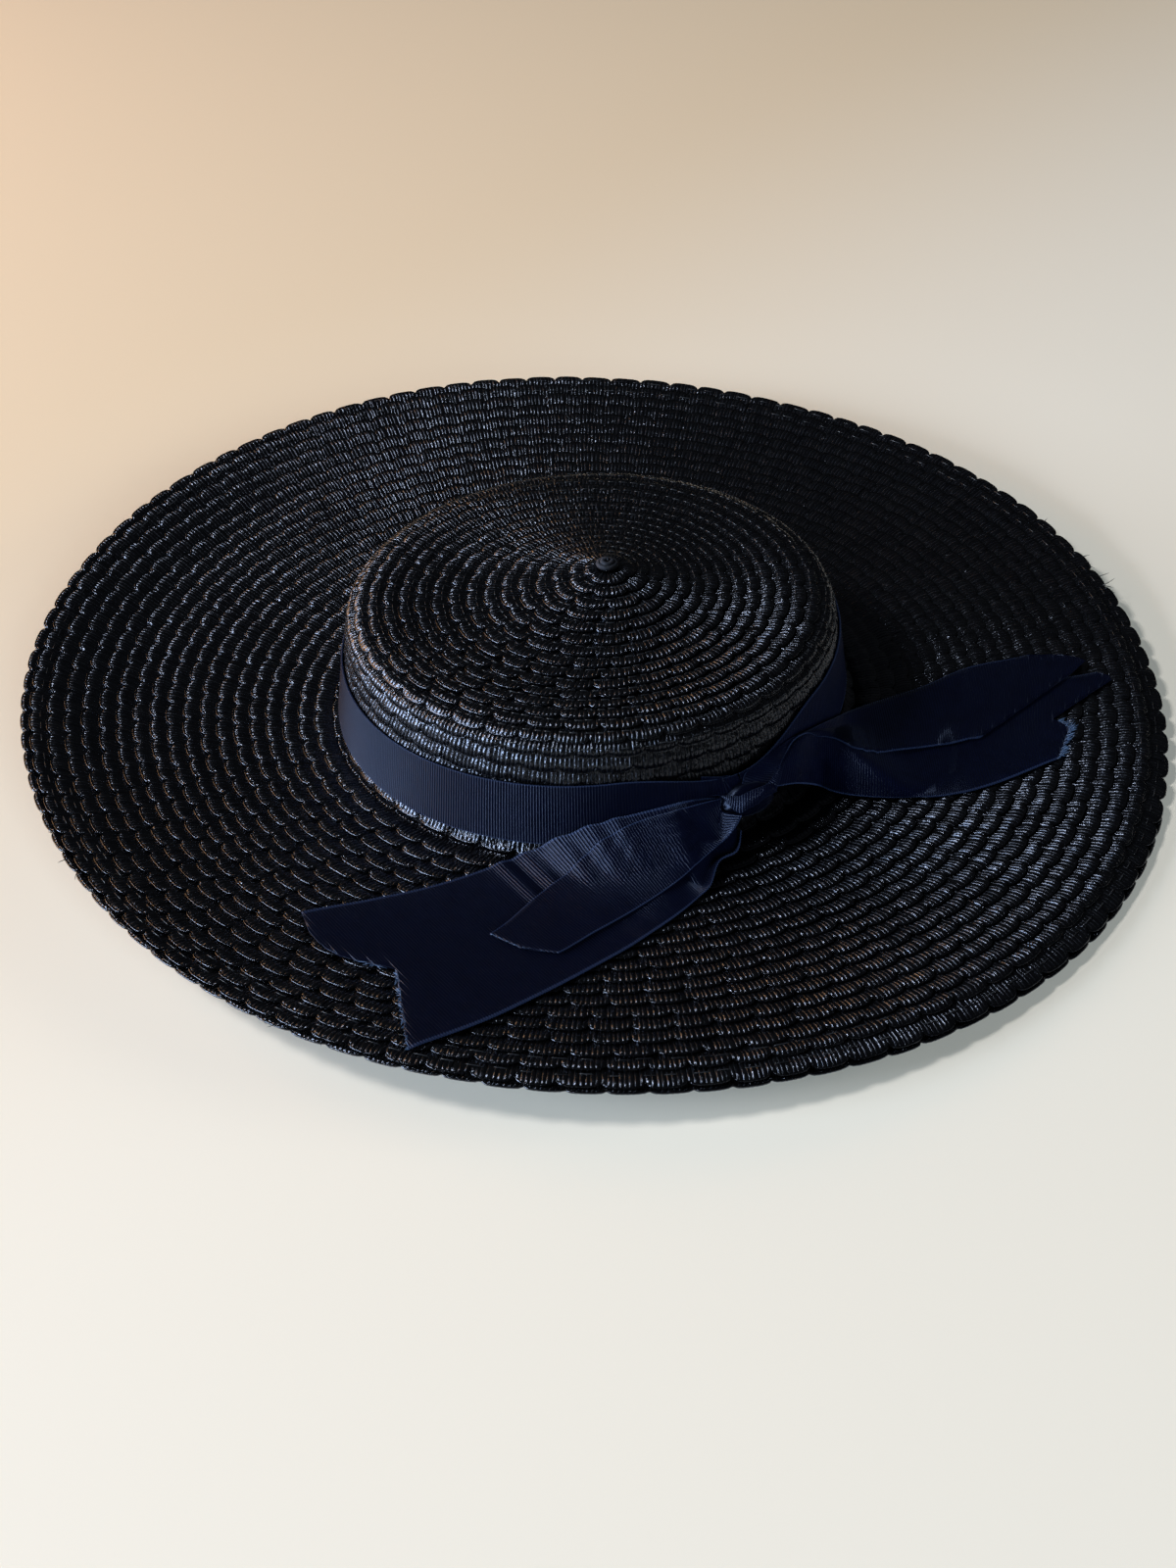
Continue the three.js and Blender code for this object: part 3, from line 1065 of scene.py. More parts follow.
class RibbonSheet:
    """A sheet of ribbed ribbon, from a grid of places along and across it."""

    THICK = 0.4 * MM
    RIB_HEIGHT = 0.28 * MM
    RIB_STEP = RIB_PITCH / 2
    NEAR = 0.004 * MM
    LEAST_AREA = 1e-12
    SMOOTH_BELOW = 80.0

    def __init__(self, name: str, points: Array, along: Array, ribbed: bool = True) -> None:
        """Makes the sheet.

        Args:
            name: The piece's name.
            points: Places, by step along and step across. A rib is two steps.
            along: The length along the ribbon at each of them, in metres.
            ribbed: Whether its ribs are modelled.
        """
        steps, lines = points.shape[:2]
        row = np.arange(steps)
        if ribbed:
            outward = np.cross(np.gradient(points, axis=1), np.gradient(points, axis=0))
            outward /= np.maximum(np.linalg.norm(outward, axis=-1), self.LEAST_AREA)[..., None]
            points = points + outward * (self.RIB_HEIGHT * (row % 2 - 0.5))[:, None, None]
        deselect_all()
        bpy.ops.mesh.primitive_grid_add(x_subdivisions=lines - 1, y_subdivisions=steps - 1, size=1.0)
        self.piece = bpy.context.object
        self.piece.name = name
        mesh = self.piece.data
        mesh.name = name
        mesh.vertices.foreach_set("co", points.astype(np.float32).ravel())
        across = np.broadcast_to(np.linspace(0.0, 1.0, lines), (steps, lines))
        pattern = np.stack((along, across), axis=-1).reshape(-1, 2)
        corner = np.zeros(len(mesh.loops), np.int32)
        mesh.loops.foreach_get("vertex_index", corner)
        layer = mesh.uv_layers.active
        layer.name = PATTERN_MAP
        layer.data.foreach_set("uv", pattern[corner].astype(np.float32).ravel())
        mesh.update()
        if ribbed:
            crease(mesh, np.repeat(np.where(row % 2 == 0, row, -1), lines))

    def thicken(self) -> Piece:
        """Closes up the steps past a cut, then gives the sheet its thickness and smooth shading.

        Returns:
            The finished object.
        """
        make_active(self.piece)
        bpy.ops.object.mode_set(mode="EDIT")
        bpy.ops.mesh.select_all(action="SELECT")
        bpy.ops.mesh.remove_doubles(threshold=self.NEAR)
        bpy.ops.object.mode_set(mode="OBJECT")
        solid = self.piece.modifiers.new("thickness", "SOLIDIFY")
        solid.thickness = self.THICK
        solid.offset = 0.0
        bpy.ops.object.modifier_apply(modifier=solid.name)
        bpy.ops.object.shade_smooth_by_angle(angle=math.radians(self.SMOOTH_BELOW))
        return self.piece


def rib_ways(lengths: Array, way: Array) -> Array:
    """Finds the places on the way along a ribbon that model each rib in two steps.

    Args:
        lengths: The length along the ribbon at some places.
        way: Those places.

    Returns:
        The places of the steps.
    """
    return np.interp(np.arange(lengths[0], lengths[-1], RibbonSheet.RIB_STEP), lengths, way)


def step_lengths(points: Array) -> Array:
    """Length along each line of a grid, kept level across by its mean.

    Args:
        points: Places, by step along and step across.

    Returns:
        The length at each place.
    """
    steps = np.linalg.norm(np.diff(points, axis=0), axis=-1).mean(axis=1)
    length = np.concatenate(([0.0], np.cumsum(steps)))
    return np.broadcast_to(length[:, None], points.shape[:2])


@dataclass
class HatBand:
    """The ribbon round the crown, drawn together where it goes into the knot."""

    form: HatForm
    finish: Material
    width: float = 22.0 * MM
    low: float = 7.0 * MM
    climb: float = 4.2 * MM
    stand_off: float = 0.9 * MM
    knot_angle: float = -59.5
    knot_height: float = 20.6 * MM
    gathered: float = 27.0
    pinch: float = 0.30
    bulge: float = 2.6 * MM
    bulge_power: float = 1.5
    fold_rise: Pair = (0.0, 0.6)
    fold_fall: Pair = (0.75, 1.0)
    fold_drop: float = 0.3
    waves: int = 3
    wave_height: float = 0.25 * MM
    ends: Pair = (0.2, 359.8)
    lines: int = 11

    def build(self) -> None:
        around = 2 * math.pi * self.form.side_radius(self.knot_height)
        turn = np.linspace(*self.ends, int(around / RibbonSheet.RIB_STEP))
        angle = np.radians(self.knot_angle + turn)
        near = 1.0 - smoothstep(np.minimum(turn, FULL_TURN - turn), 0.0, self.gathered)
        across = np.linspace(0.0, 1.0, self.lines)
        middle = self.low + self.climb * np.cos(angle) + self.width / 2
        middle = middle + (self.knot_height - middle) * near
        narrow = 1.0 - (1.0 - self.pinch) * near
        height = middle[:, None] + (across[None, :] - 0.5) * (self.width * narrow)[:, None]
        fold = smoothstep(across, *self.fold_rise) - self.fold_drop * smoothstep(across, *self.fold_fall)
        lift = self.bulge * np.outer(near**self.bulge_power, fold)
        wave = self.wave_height * np.sin(self.waves * angle)[:, None]
        wave = wave * np.cos(math.pi * (across - 0.5))[None, :]
        radius = self.form.side_radius(height) + self.stand_off + lift + wave
        points = polar(radius, angle[:, None], height)
        ribs = np.arange(len(turn))[:, None] * RibbonSheet.RIB_STEP * np.ones((1, self.lines))
        piece = RibbonSheet("ribbon_band", points, ribs).thicken()
        settle(piece, self.finish, ("band",))


class TailRow(NamedTuple):
    """One rib of a tail: its back edge, its fold and its front edge.

    Each is a distance from the bow along the tail's heading, a distance to the side of it toward the front,
    and a height over the brim, in millimetres.
    """

    back: Triple
    fold: Triple
    front: Triple


def level_row(along: float, back: float, fold: float, front: float, lift: float = 0.9) -> TailRow:
    """A straight rib that lies flat."""
    return TailRow((along, back, lift), (along, fold, lift), (along, front, lift))


@dataclass
class Tail:
    """One tail of the bow.

    ripples gives where the ripples of its back edge start and end, and their height.
    """

    form: HatForm
    finish: Material
    heading: float
    name: str
    rows: tuple[TailRow, ...]
    cut: tuple[Pair, ...]
    flat: Pair
    frayed: tuple["Fray", ...] = ()
    ripples: Triple = (0.0, 0.0, 0.0)
    ripple_length: float = 8.8 * MM
    ripple_fades: Pair = (0.25, 0.75)
    bow: Pair = (52.6 * MM, -81.0 * MM)
    clear: float = 0.75 * MM
    reach: float = 3.0 * MM
    blur: float = 0.5 * MM
    least_weight: float = 1e-9
    crease: float = 0.22
    coarse: int = 1200
    lines: int = 17

    def directions(self) -> tuple[Array, Array]:
        """Finds the tail's level directions.

        Returns:
            The directions along the tail and toward its front edge.
        """
        way = math.radians(self.heading)
        forward = np.array((math.cos(way), math.sin(way)))
        frontward = np.array((forward[1], -forward[0])) * math.copysign(1.0, forward[0])
        return forward, frontward

    def bent(self, across: Array, back: Array, fold: Array, front: Array) -> Array:
        """Carries a value from the back edge over a rounded fold to the front edge.

        Args:
            across: Places across the tail, 0 at the back and 1 at the front.
            back: The value at the back edge, by step along.
            fold: The value at the fold.
            front: The value at the front edge.

        Returns:
            The value by step along and step across.
        """
        place = across * 2.0 - 1.0
        rounded = np.sqrt(place**2 + self.crease**2) - self.crease
        scale = math.sqrt(1.0 + self.crease**2) - self.crease
        to_front = (rounded / scale + place) / 2
        to_back = (rounded / scale - place) / 2
        return fold[:, None] + np.outer(front - fold, to_front) + np.outer(back - fold, to_back)

    def on_brim(self, along: Array, side: Array, lift: Array) -> Array:
        """Turns places along and beside the tail into points over the brim.

        Args:
            along: Distances from the bow along the tail.
            side: Distances toward its front.
            lift: Heights over the brim.

        Returns:
            The points.
        """
        forward, frontward = self.directions()
        x = self.bow[0] + forward[0] * along + frontward[0] * side
        y = self.bow[1] + forward[1] * along + frontward[1] * side
        height = self.form.brim_height(np.hypot(x, y), np.arctan2(y, x)) + lift
        return np.stack((x, y, height), axis=-1)

    def places(self) -> tuple[Array, Array]:
        """Works out the tail's surface.

        Returns:
            The places, by step along and step across, and the length along at each.
        """
        across = np.linspace(0.0, 1.0, self.lines)
        last = 1.0 - 1.0 / (len(self.rows) - 1)
        cut = np.interp(across, *np.array(self.cut).T)[None, :] * MM
        rough_way = np.linspace(0.0, last, self.coarse)
        rough = self.sections(rough_way, across)
        lengths = step_lengths(self.on_brim(*rough))[:, 0]
        start = rough[0][-1]
        body = self.sections(rib_ways(lengths, rough_way), across)
        count = len(body[0])
        ribs = np.arange(count + int((cut - start).max() / RibbonSheet.RIB_STEP) + 2) * RibbonSheet.RIB_STEP
        past = np.minimum(ribs[count:, None] - lengths[-1], cut - start)
        end = self.sections(np.linspace(last, 1.0, self.coarse), across)
        place = np.clip(past / (cut - start), 0.0, 1.0) * (self.coarse - 1)
        step = place.astype(int)
        column = np.arange(self.lines)
        along = np.concatenate((body[0], start + past))
        side = np.concatenate((body[1], end[1][step, column]))
        lift = np.concatenate((body[2], end[2][step, column]))
        lengths_past = np.concatenate((ribs[:count, None] * np.ones(self.lines), lengths[-1] + past))
        return self.on_brim(along, side, lift), lengths_past

    def sections(self, way: Array, across: Array) -> tuple[Array, ...]:
        """Reads the tail's rows at steps along and across.

        Args:
            way: Places from the first row, 0, to the last row, 1.
            across: Places across the tail, 0 at the back and 1 at the front.

        Returns:
            The distances along, the distances to the side and the heights.
        """
        table = smooth_rows(np.array(self.rows).reshape(len(self.rows), -1) * MM, way)
        along, side, lift = (self.bent(across, *table[:, axis::3].T) for axis in range(3))
        start, end, height = self.ripples
        inside = smoothstep(along, start, start + self.ripple_length)
        inside = inside - smoothstep(along, end - self.ripple_length, end)
        wave = 0.5 - 0.5 * np.cos(2 * math.pi * (along - start) / self.ripple_length)
        return along, side, lift + height * inside * wave * (1.0 - smoothstep(across, *self.ripple_fades))

    def laid_over(self, points: Array, under: Array) -> Array:
        """Lifts points clear of another sheet.

        Args:
            points: This tail's places.
            under: The places of the sheet that it lies on.

        Returns:
            The lifted places.
        """
        flat = under.reshape(-1, 3)
        raised = points.copy()
        for row in raised:
            apart = ((row[:, None, :2] - flat[None, :, :2]) ** 2).sum(axis=-1)
            weight = np.where(apart < self.reach**2, 1.0 / (apart + self.blur**2) ** 2, 0.0)
            total = weight.sum(axis=1)
            height = (weight * flat[None, :, 2]).sum(axis=1) / np.maximum(total, self.least_weight)
            row[:, 2] = np.where(total > 0.0, np.maximum(row[:, 2], height + self.clear), row[:, 2])
        return raised

    def build(self, under: Array | None = None) -> Array:
        """Args:
            under: The places of the tail that it lies on, if any.

        Returns:
            The tail's own places.
        """
        points, along = self.places()
        if under is not None:
            points = self.laid_over(points, under)
        piece = RibbonSheet(f"ribbon_{self.name}", points, along).thicken()
        settle(piece, self.finish, (self.name,))
        return points


@dataclass
class Fray:
    """Pale threads that stand out along part of a tail's cut end.

    start and end are places across the tail, rise the mean and the spread of the threads' slope.
    """

    start: float
    end: float
    count: int
    reach: float
    seed: int
    thick: float = 0.13 * MM
    splay: float = 0.025
    rise: Pair = (0.15, 0.25)
    root: float = 0.5 * MM
    lead: float = 0.25
    bend: Pair = (1.3, 0.2)
    RINGS = (0.0, 0.35, 0.7, 1.0)
    TAPER = (1.0, 1.0, 0.9, 0.3)

    def build(self, name: str, tail: Tail, points: Array) -> Piece:
        """Makes the threads of one end as one piece.

        Args:
            name: The piece's name.
            tail: The tail.
            points: The tail's places.

        Returns:
            The finished object.
        """
        draw = np.random.default_rng(self.seed)
        place = self.start + (self.end - self.start) * draw.random(self.count)
        across = np.linspace(0.0, 1.0, points.shape[1])
        ahead = np.append(tail.directions()[0], 0.0)
        aside = draw.normal(0.0, self.splay, self.count)
        length = self.reach * spread(draw, self.count, base=0.25, span=1.0)
        rise = draw.normal(*self.rise, self.count)
        rings = []
        for way in self.RINGS:
            column = np.clip(place + aside * way, 0.0, 1.0)
            edge = np.stack([np.interp(column, across, points[-1, :, axis]) for axis in range(3)], axis=-1)
            arc = np.sin(self.bend[0] * way + self.bend[1])
            out = length * (self.lead + (1.0 - self.lead) * way) * arc - self.root
            ring = edge + out[:, None] * ahead
            ring[:, 2] += np.maximum(rise * length * way, -self.root)
            rings.append(ring)
        return thread_mesh(name, np.stack(rings, axis=1), self.thick * np.array(self.TAPER))


LEFT_LONG = (
    TailRow((10.5, -5.5, 15), (10, 2.3, 6.5), (10, 4.5, 7.5)),
    TailRow((17.5, -7, 17), (15.7, 6.7, 4), (15.8, 10, 5.6)),
    TailRow((23, -8.4, 17.7), (22.3, 5.3, 3), (23, 10, 4.6)),
    TailRow((29.5, -10.3, 17.5), (32, 11.5, 1.8), (31.5, 16.5, 3)),
    TailRow((37, -13.2, 16.6), (37, 7, 3), (37, 17.6, 1.2)),
    TailRow((47, -18, 14.5), (47, 1, 4.5), (47, 20.5, 0.9)),
    TailRow((59, -25.5, 9), (59, -1, 2.2), (59, 23.2, 0.9)),
    TailRow((70, -33, 1.4), (70, -2, 1.2), (70, 25.5, 0.9)),
    level_row(84, -34.8, -2.5, 27.6),
    level_row(104, -36.8, -3, 30.4),
    level_row(125, -41, -3.5, 32.4),
    level_row(148, -45.5, -4, 32),
)
LEFT_LONG_CUT = ((0.0, 145.5), (0.14, 148.5), (0.28, 148), (0.4, 142), (0.5, 135), (0.67, 140.5), (1.0, 151))
LEFT_SHORT = (
    TailRow((12, -4, 16.2), (13.4, -1, 13.5), (10.3, 4.9, 14.3)),
    TailRow((16.8, -4.9, 16.7), (15.6, 1, 10.1), (12.8, 5.6, 11.9)),
    TailRow((22.3, -6.1, 16.9), (19, 3.5, 7.6), (17.4, 6.1, 9.1)),
    TailRow((29.5, -8.1, 16.2), (27, 0, 9), (25, 6.3, 6)),
    TailRow((40.2, -11.7, 12.3), (39.6, -0.9, 7), (40, 9.7, 4)),
    TailRow((57, -15.3, 5), (57, -0.3, 4), (57, 11.9, 2.5)),
    TailRow((76, -12.8, 2.6), (76, 1.5, 2.5), (75, 14.2, 2.3)),
    level_row(96, -3.4, 7.7, 16.8, 2.2),
)
LEFT_SHORT_CUT = ((0.0, 102), (0.5, 98.2), (1.0, 90))
RIGHT_LONG = (
    TailRow((15.5, -10.8, 22.2), (12.4, -7.1, 20.9), (7, -2.1, 14.2)),
    TailRow((21.7, -13.9, 22.2), (20.1, -10.5, 23), (15.9, -3.8, 11.5)),
    TailRow((28.2, -17.3, 19.5), (28.5, -15.5, 19.5), (26.1, -7.6, 4.5)),
    TailRow((39.2, -24.5, 13.6), (35.2, -14.2, 15.6), (31.2, -4.3, 2.5)),
    TailRow((53, -34.8, 4.4), (41.6, -8.6, 12.2), (38, -0.9, 1.2)),
    TailRow((61.6, -35.8, 2.6), (48.6, -1.2, 7.4), (47, 3.9, 0.9)),
    TailRow((70.4, -35.7, 1.4), (57, 2.4, 2.8), (55, 7.6, 0.9)),
    TailRow((85.6, -36.5, 0.9), (72.3, -4, 1.2), (65, 11.5, 0.9)),
    TailRow((104.5, -35, 0.9), (90.2, -10.1, 0.9), (82, 13.4, 0.9)),
    level_row(128, -25, -8.5, 11.5),
)
RIGHT_LONG_CUT = ((0.0, 146), (0.17, 150), (0.5, 118), (0.67, 121), (1.0, 108))
RIGHT_SHORT = (
    TailRow((-7.2, 1.7, 16.5), (-4.2, 2.7, 16.8), (-1.5, 3.6, 17.2)),
    TailRow((-5.2, -1.3, 18.5), (-2, 0.1, 18.2), (1.7, 1.3, 18)),
    TailRow((-2.9, -4.2, 21.2), (1.3, -2.3, 19.6), (5.5, -0.7, 18.6)),
    TailRow((1.5, -6, 21.9), (5.5, -4.7, 20.6), (9.4, -3.8, 20.5)),
    TailRow((8.4, -8.6, 23.1), (10.9, -7.9, 22.8), (13.8, -7.9, 22.3)),
    TailRow((17.3, -12.4, 23.7), (18.3, -12.3, 22.9), (19.4, -12.1, 22.1)),
    TailRow((26.7, -16.7, 21.8), (27.3, -16.3, 20.5), (28, -15, 19.5)),
    TailRow((38, -24.2, 17), (37.5, -20.5, 15), (36, -14.8, 15.8)),
    TailRow((55, -38, 7), (50, -27.3, 7), (43, -11, 10.4)),
    TailRow((71.6, -43.6, 3.2), (66, -28.2, 3.9), (60, -13.6, 4.8)),
    TailRow((88, -45.3, 2.4), (81.5, -27.6, 2.5), (74, -12.6, 2.6)),
    TailRow((106, -47.8, 2.3), (98, -28.2, 2.3), (86, -11, 2.3)),
    level_row(128, -44, -27, -10, 2.2),
)
RIGHT_SHORT_CUT = ((0.0, 129), (0.16, 139), (0.36, 146), (0.5, 137), (1.0, 90))
LEFT_LONG_FRAY = (Fray(0.52, 1.0, 110, 1.4 * MM, 31), Fray(0.38, 0.46, 16, 1.6 * MM, 32))
LEFT_SHORT_FRAY = (Fray(0.0, 1.0, 26, 0.7 * MM, 33),)
RIGHT_LONG_FRAY = (Fray(0.55, 1.0, 110, 3.4 * MM, 34),)
RIPPLES = (40.0 * MM, 86.0 * MM, 0.9 * MM)
LEFT_HEADING = 213.0
RIGHT_HEADING = 20.0


def bow_tails(form: HatForm, finish: Material) -> tuple[tuple[Tail, Tail], ...]:
    """The tails of both sides, each long one with the short one that lies on it.

    Args:
        form: The hat's form.
        finish: The ribbon's finish.

    Returns:
        The left pair and the right pair.
    """
    left = (form, finish, LEFT_HEADING)
    right = (form, finish, RIGHT_HEADING)
    left_long = Tail(
        *left, "tail_left_long", LEFT_LONG, LEFT_LONG_CUT,
        flat=(0.062, 0.138), frayed=LEFT_LONG_FRAY, ripples=RIPPLES,
    )
    left_short = Tail(
        *left, "tail_left_short", LEFT_SHORT, LEFT_SHORT_CUT, flat=(0.026, 0.09), frayed=LEFT_SHORT_FRAY
    )
    right_long = Tail(
        *right, "tail_right_long", RIGHT_LONG, RIGHT_LONG_CUT, flat=(0.05, 0.125), frayed=RIGHT_LONG_FRAY
    )
    right_short = Tail(*right, "tail_right_short", RIGHT_SHORT, RIGHT_SHORT_CUT, flat=(0.03, 0.135))
    return (left_long, left_short), (right_long, right_short)


class FoldLine(NamedTuple):
    """One rib of a fold in the knot: its two ends, each to the right, up the knot's face and out from it.

    All are in millimetres.
    """

    upper: Triple
    lower: Triple


WRAP = (
    FoldLine((-7.4, 1.4, -0.5), (-7.2, 0.6, -0.5)),
    FoldLine((-6.5, 1.3, 1.6), (-6.2, 0.4, 1.8)),
    FoldLine((-4.5, 1.1, 3.4), (-4.8, -1.3, 4.0)),
    FoldLine((-2.6, 0.9, 4.4), (-3.1, -3.3, 5.4)),
    FoldLine((-1.0, 0.8, 5.0), (-1.1, -4.5, 6.2)),
    FoldLine((1.0, 1.7, 5.2), (0.5, -3.6, 6.6)),
    FoldLine((3.3, 2.8, 5.0), (2.5, -2.7, 6.6)),
    FoldLine((5.6, 3.5, 4.6), (4.6, -1.6, 6.2)),
    FoldLine((7.8, 4.4, 3.8), (6.7, 0.0, 5.2)),
    FoldLine((9.8, 4.8, 2.6), (8.7, 1.0, 3.8)),
    FoldLine((11.0, 4.4, 0.8), (10.6, 1.9, 1.4)),
    FoldLine((11.6, 3.8, -2.0), (11.4, 2.2, -2.0)),
)
SIDE_FOLD = (
    FoldLine((7.6, 4.0, 1.0), (9.8, 2.0, 2.0)),
    FoldLine((8.5, 4.6, 2.0), (10.7, 2.6, 3.0)),
    FoldLine((9.8, 6.0, 1.0), (12.0, 4.5, 2.0)),
    FoldLine((11.1, 8.0, -1.4), (13.0, 7.0, -0.5)),
    FoldLine((12.5, 10.2, -3.9), (14.1, 9.5, -3.1)),
    FoldLine((13.7, 12.1, -6.2), (14.8, 11.9, -5.8)),
)
BAND_END = (
    FoldLine((-13.4, 7.6, 4.6), (-13.4, 1.6, 1.8)),
    FoldLine((-10.2, 7.5, 4.2), (-9.6, 1.5, 1.6)),
    FoldLine((-7.9, 7.4, 3.8), (-6.6, 1.4, 1.4)),
    FoldLine((-6.6, 7.3, 3.4), (-4.8, 1.4, 1.4)),
    FoldLine((-6.1, 6.9, 3.2), (-3.2, 3.6, 1.6)),
)
BACK_FOLD = (
    FoldLine((-6.8, 7.5, 2.0), (-4.6, 3.2, 0.4)),
    FoldLine((-3.4, 7.7, 1.0), (-2.8, 2.9, 0.2)),
    FoldLine((-0.4, 7.1, -0.4), (-1.4, 2.5, 0.0)),
    FoldLine((0.8, 6.6, -1.4), (-0.2, 2.4, -0.6)),
)


@dataclass
class Knot:
    """The tied knot: a small core of gathered ribbon with folds of ribbon round it."""

    finish: Material
    middle: Triple = (47.3 * MM, -83.0 * MM, 16.9 * MM)
    facing: float = 39.2
    core_place: Triple = (1.6, 0.0, -0.6)
    core_heading: float = 16.0
    half_length: float = 8.6 * MM
    girth: float = 5.4 * MM
    rounding: float = 1.2 * MM
    small_rounding: float = 0.3
    flat: Pair = (0.02, 0.052)
    fold_samples: int = 100
    fold_lines: int = 13
    core_steps: int = 40
    core_lines: int = 41
    closed_at: float = 0.03
    swell_power: float = 0.4
    pleats: int = 7
    pleat_depth: float = 0.07
    pleat_twist: float = 4.0

    def out(self, places: Array) -> Array:
        """Turns places on the knot's face into points on the hat.

        Args:
            places: Distances to the right, up the face and out from it.

        Returns:
            The points.
        """
        tilt = math.radians(self.facing)
        upward = np.array((0.0, math.sin(tilt), math.cos(tilt)))
        outward = np.array((0.0, -math.cos(tilt), math.sin(tilt)))
        right = np.array((1.0, 0.0, 0.0))
        return np.array(self.middle) + places @ np.stack((right, upward, outward))

    def fold(self, name: str, lines: tuple[FoldLine, ...], rounding: float) -> Piece:
        """Makes one fold of ribbon from its ribs.

        Args:
            name: The piece's name.
            lines: Its ribs in order.
            rounding: How far the middle of the fold swells out.

        Returns:
            The fold.
        """
        table = np.array(lines).reshape(len(lines), -1) * MM
        rough_way = np.linspace(0.0, 1.0, self.fold_samples)
        rough = smooth_rows(table, rough_way).reshape(-1, 2, 3)
        way = rib_ways(step_lengths(rough)[:, 0], rough_way)
        ribs = smooth_rows(table, way)
        across = np.linspace(0.0, 1.0, self.fold_lines)
        points = ribs[:, None, :3] * (1.0 - across)[None, :, None]
        points = points + ribs[:, None, 3:] * across[None, :, None]
        points[:, :, 2] += rounding * np.sin(math.pi * across)[None, :]
        along = np.arange(len(way))[:, None] * RibbonSheet.RIB_STEP * np.ones(len(across))
        return RibbonSheet(name, self.out(points), along).thicken()

    def core(self) -> Piece:
        """Makes the gathered ribbon inside the folds.

        Returns:
            The core.
        """
        way = np.linspace(0.0, 1.0, self.core_steps)
        turn = np.linspace(0.0, 2 * math.pi, self.core_lines)
        swell = np.sin(math.pi * np.clip(way, self.closed_at, 1.0 - self.closed_at)) ** self.swell_power
        phase = self.pleats * turn[None, :] + self.pleat_twist * way[:, None]
        radius = self.girth * swell[:, None] * (1.0 + self.pleat_depth * np.sin(phase))
        along = np.broadcast_to((2.0 * way[:, None] - 1.0) * self.half_length, radius.shape)
        slope = math.radians(self.core_heading)
        rise = radius * np.cos(turn)[None, :]
        right = along * math.cos(slope) - rise * math.sin(slope)
        upward = along * math.sin(slope) + rise * math.cos(slope)
        points = np.stack((right, upward, radius * np.sin(turn)[None, :]), axis=-1)
        points = points + np.array(self.core_place) * MM
        return RibbonSheet("ribbon_knot", self.out(points), np.zeros(radius.shape), False).thicken()

    def build(self) -> None:
        piece = self.core()
        folds = [self.fold("wrap", WRAP, self.rounding)]
        for name, lines in (("side_fold", SIDE_FOLD), ("band_end", BAND_END), ("back_fold", BACK_FOLD)):
            folds.append(self.fold(name, lines, self.small_rounding * self.rounding))
        make_active(piece)
        for fold in folds:
            fold.select_set(True)
        bpy.ops.object.join()
        settle(piece, self.finish, ("knot",))


# Studio


class WindowLight(NamedTuple):
    """A soft light: its place, sides and colour, its power in watts, and whether shiny faces mirror it."""

    name: str
    place: Triple
    sides: Pair
    colour: Triple
    power: float
    mirrored: bool = True


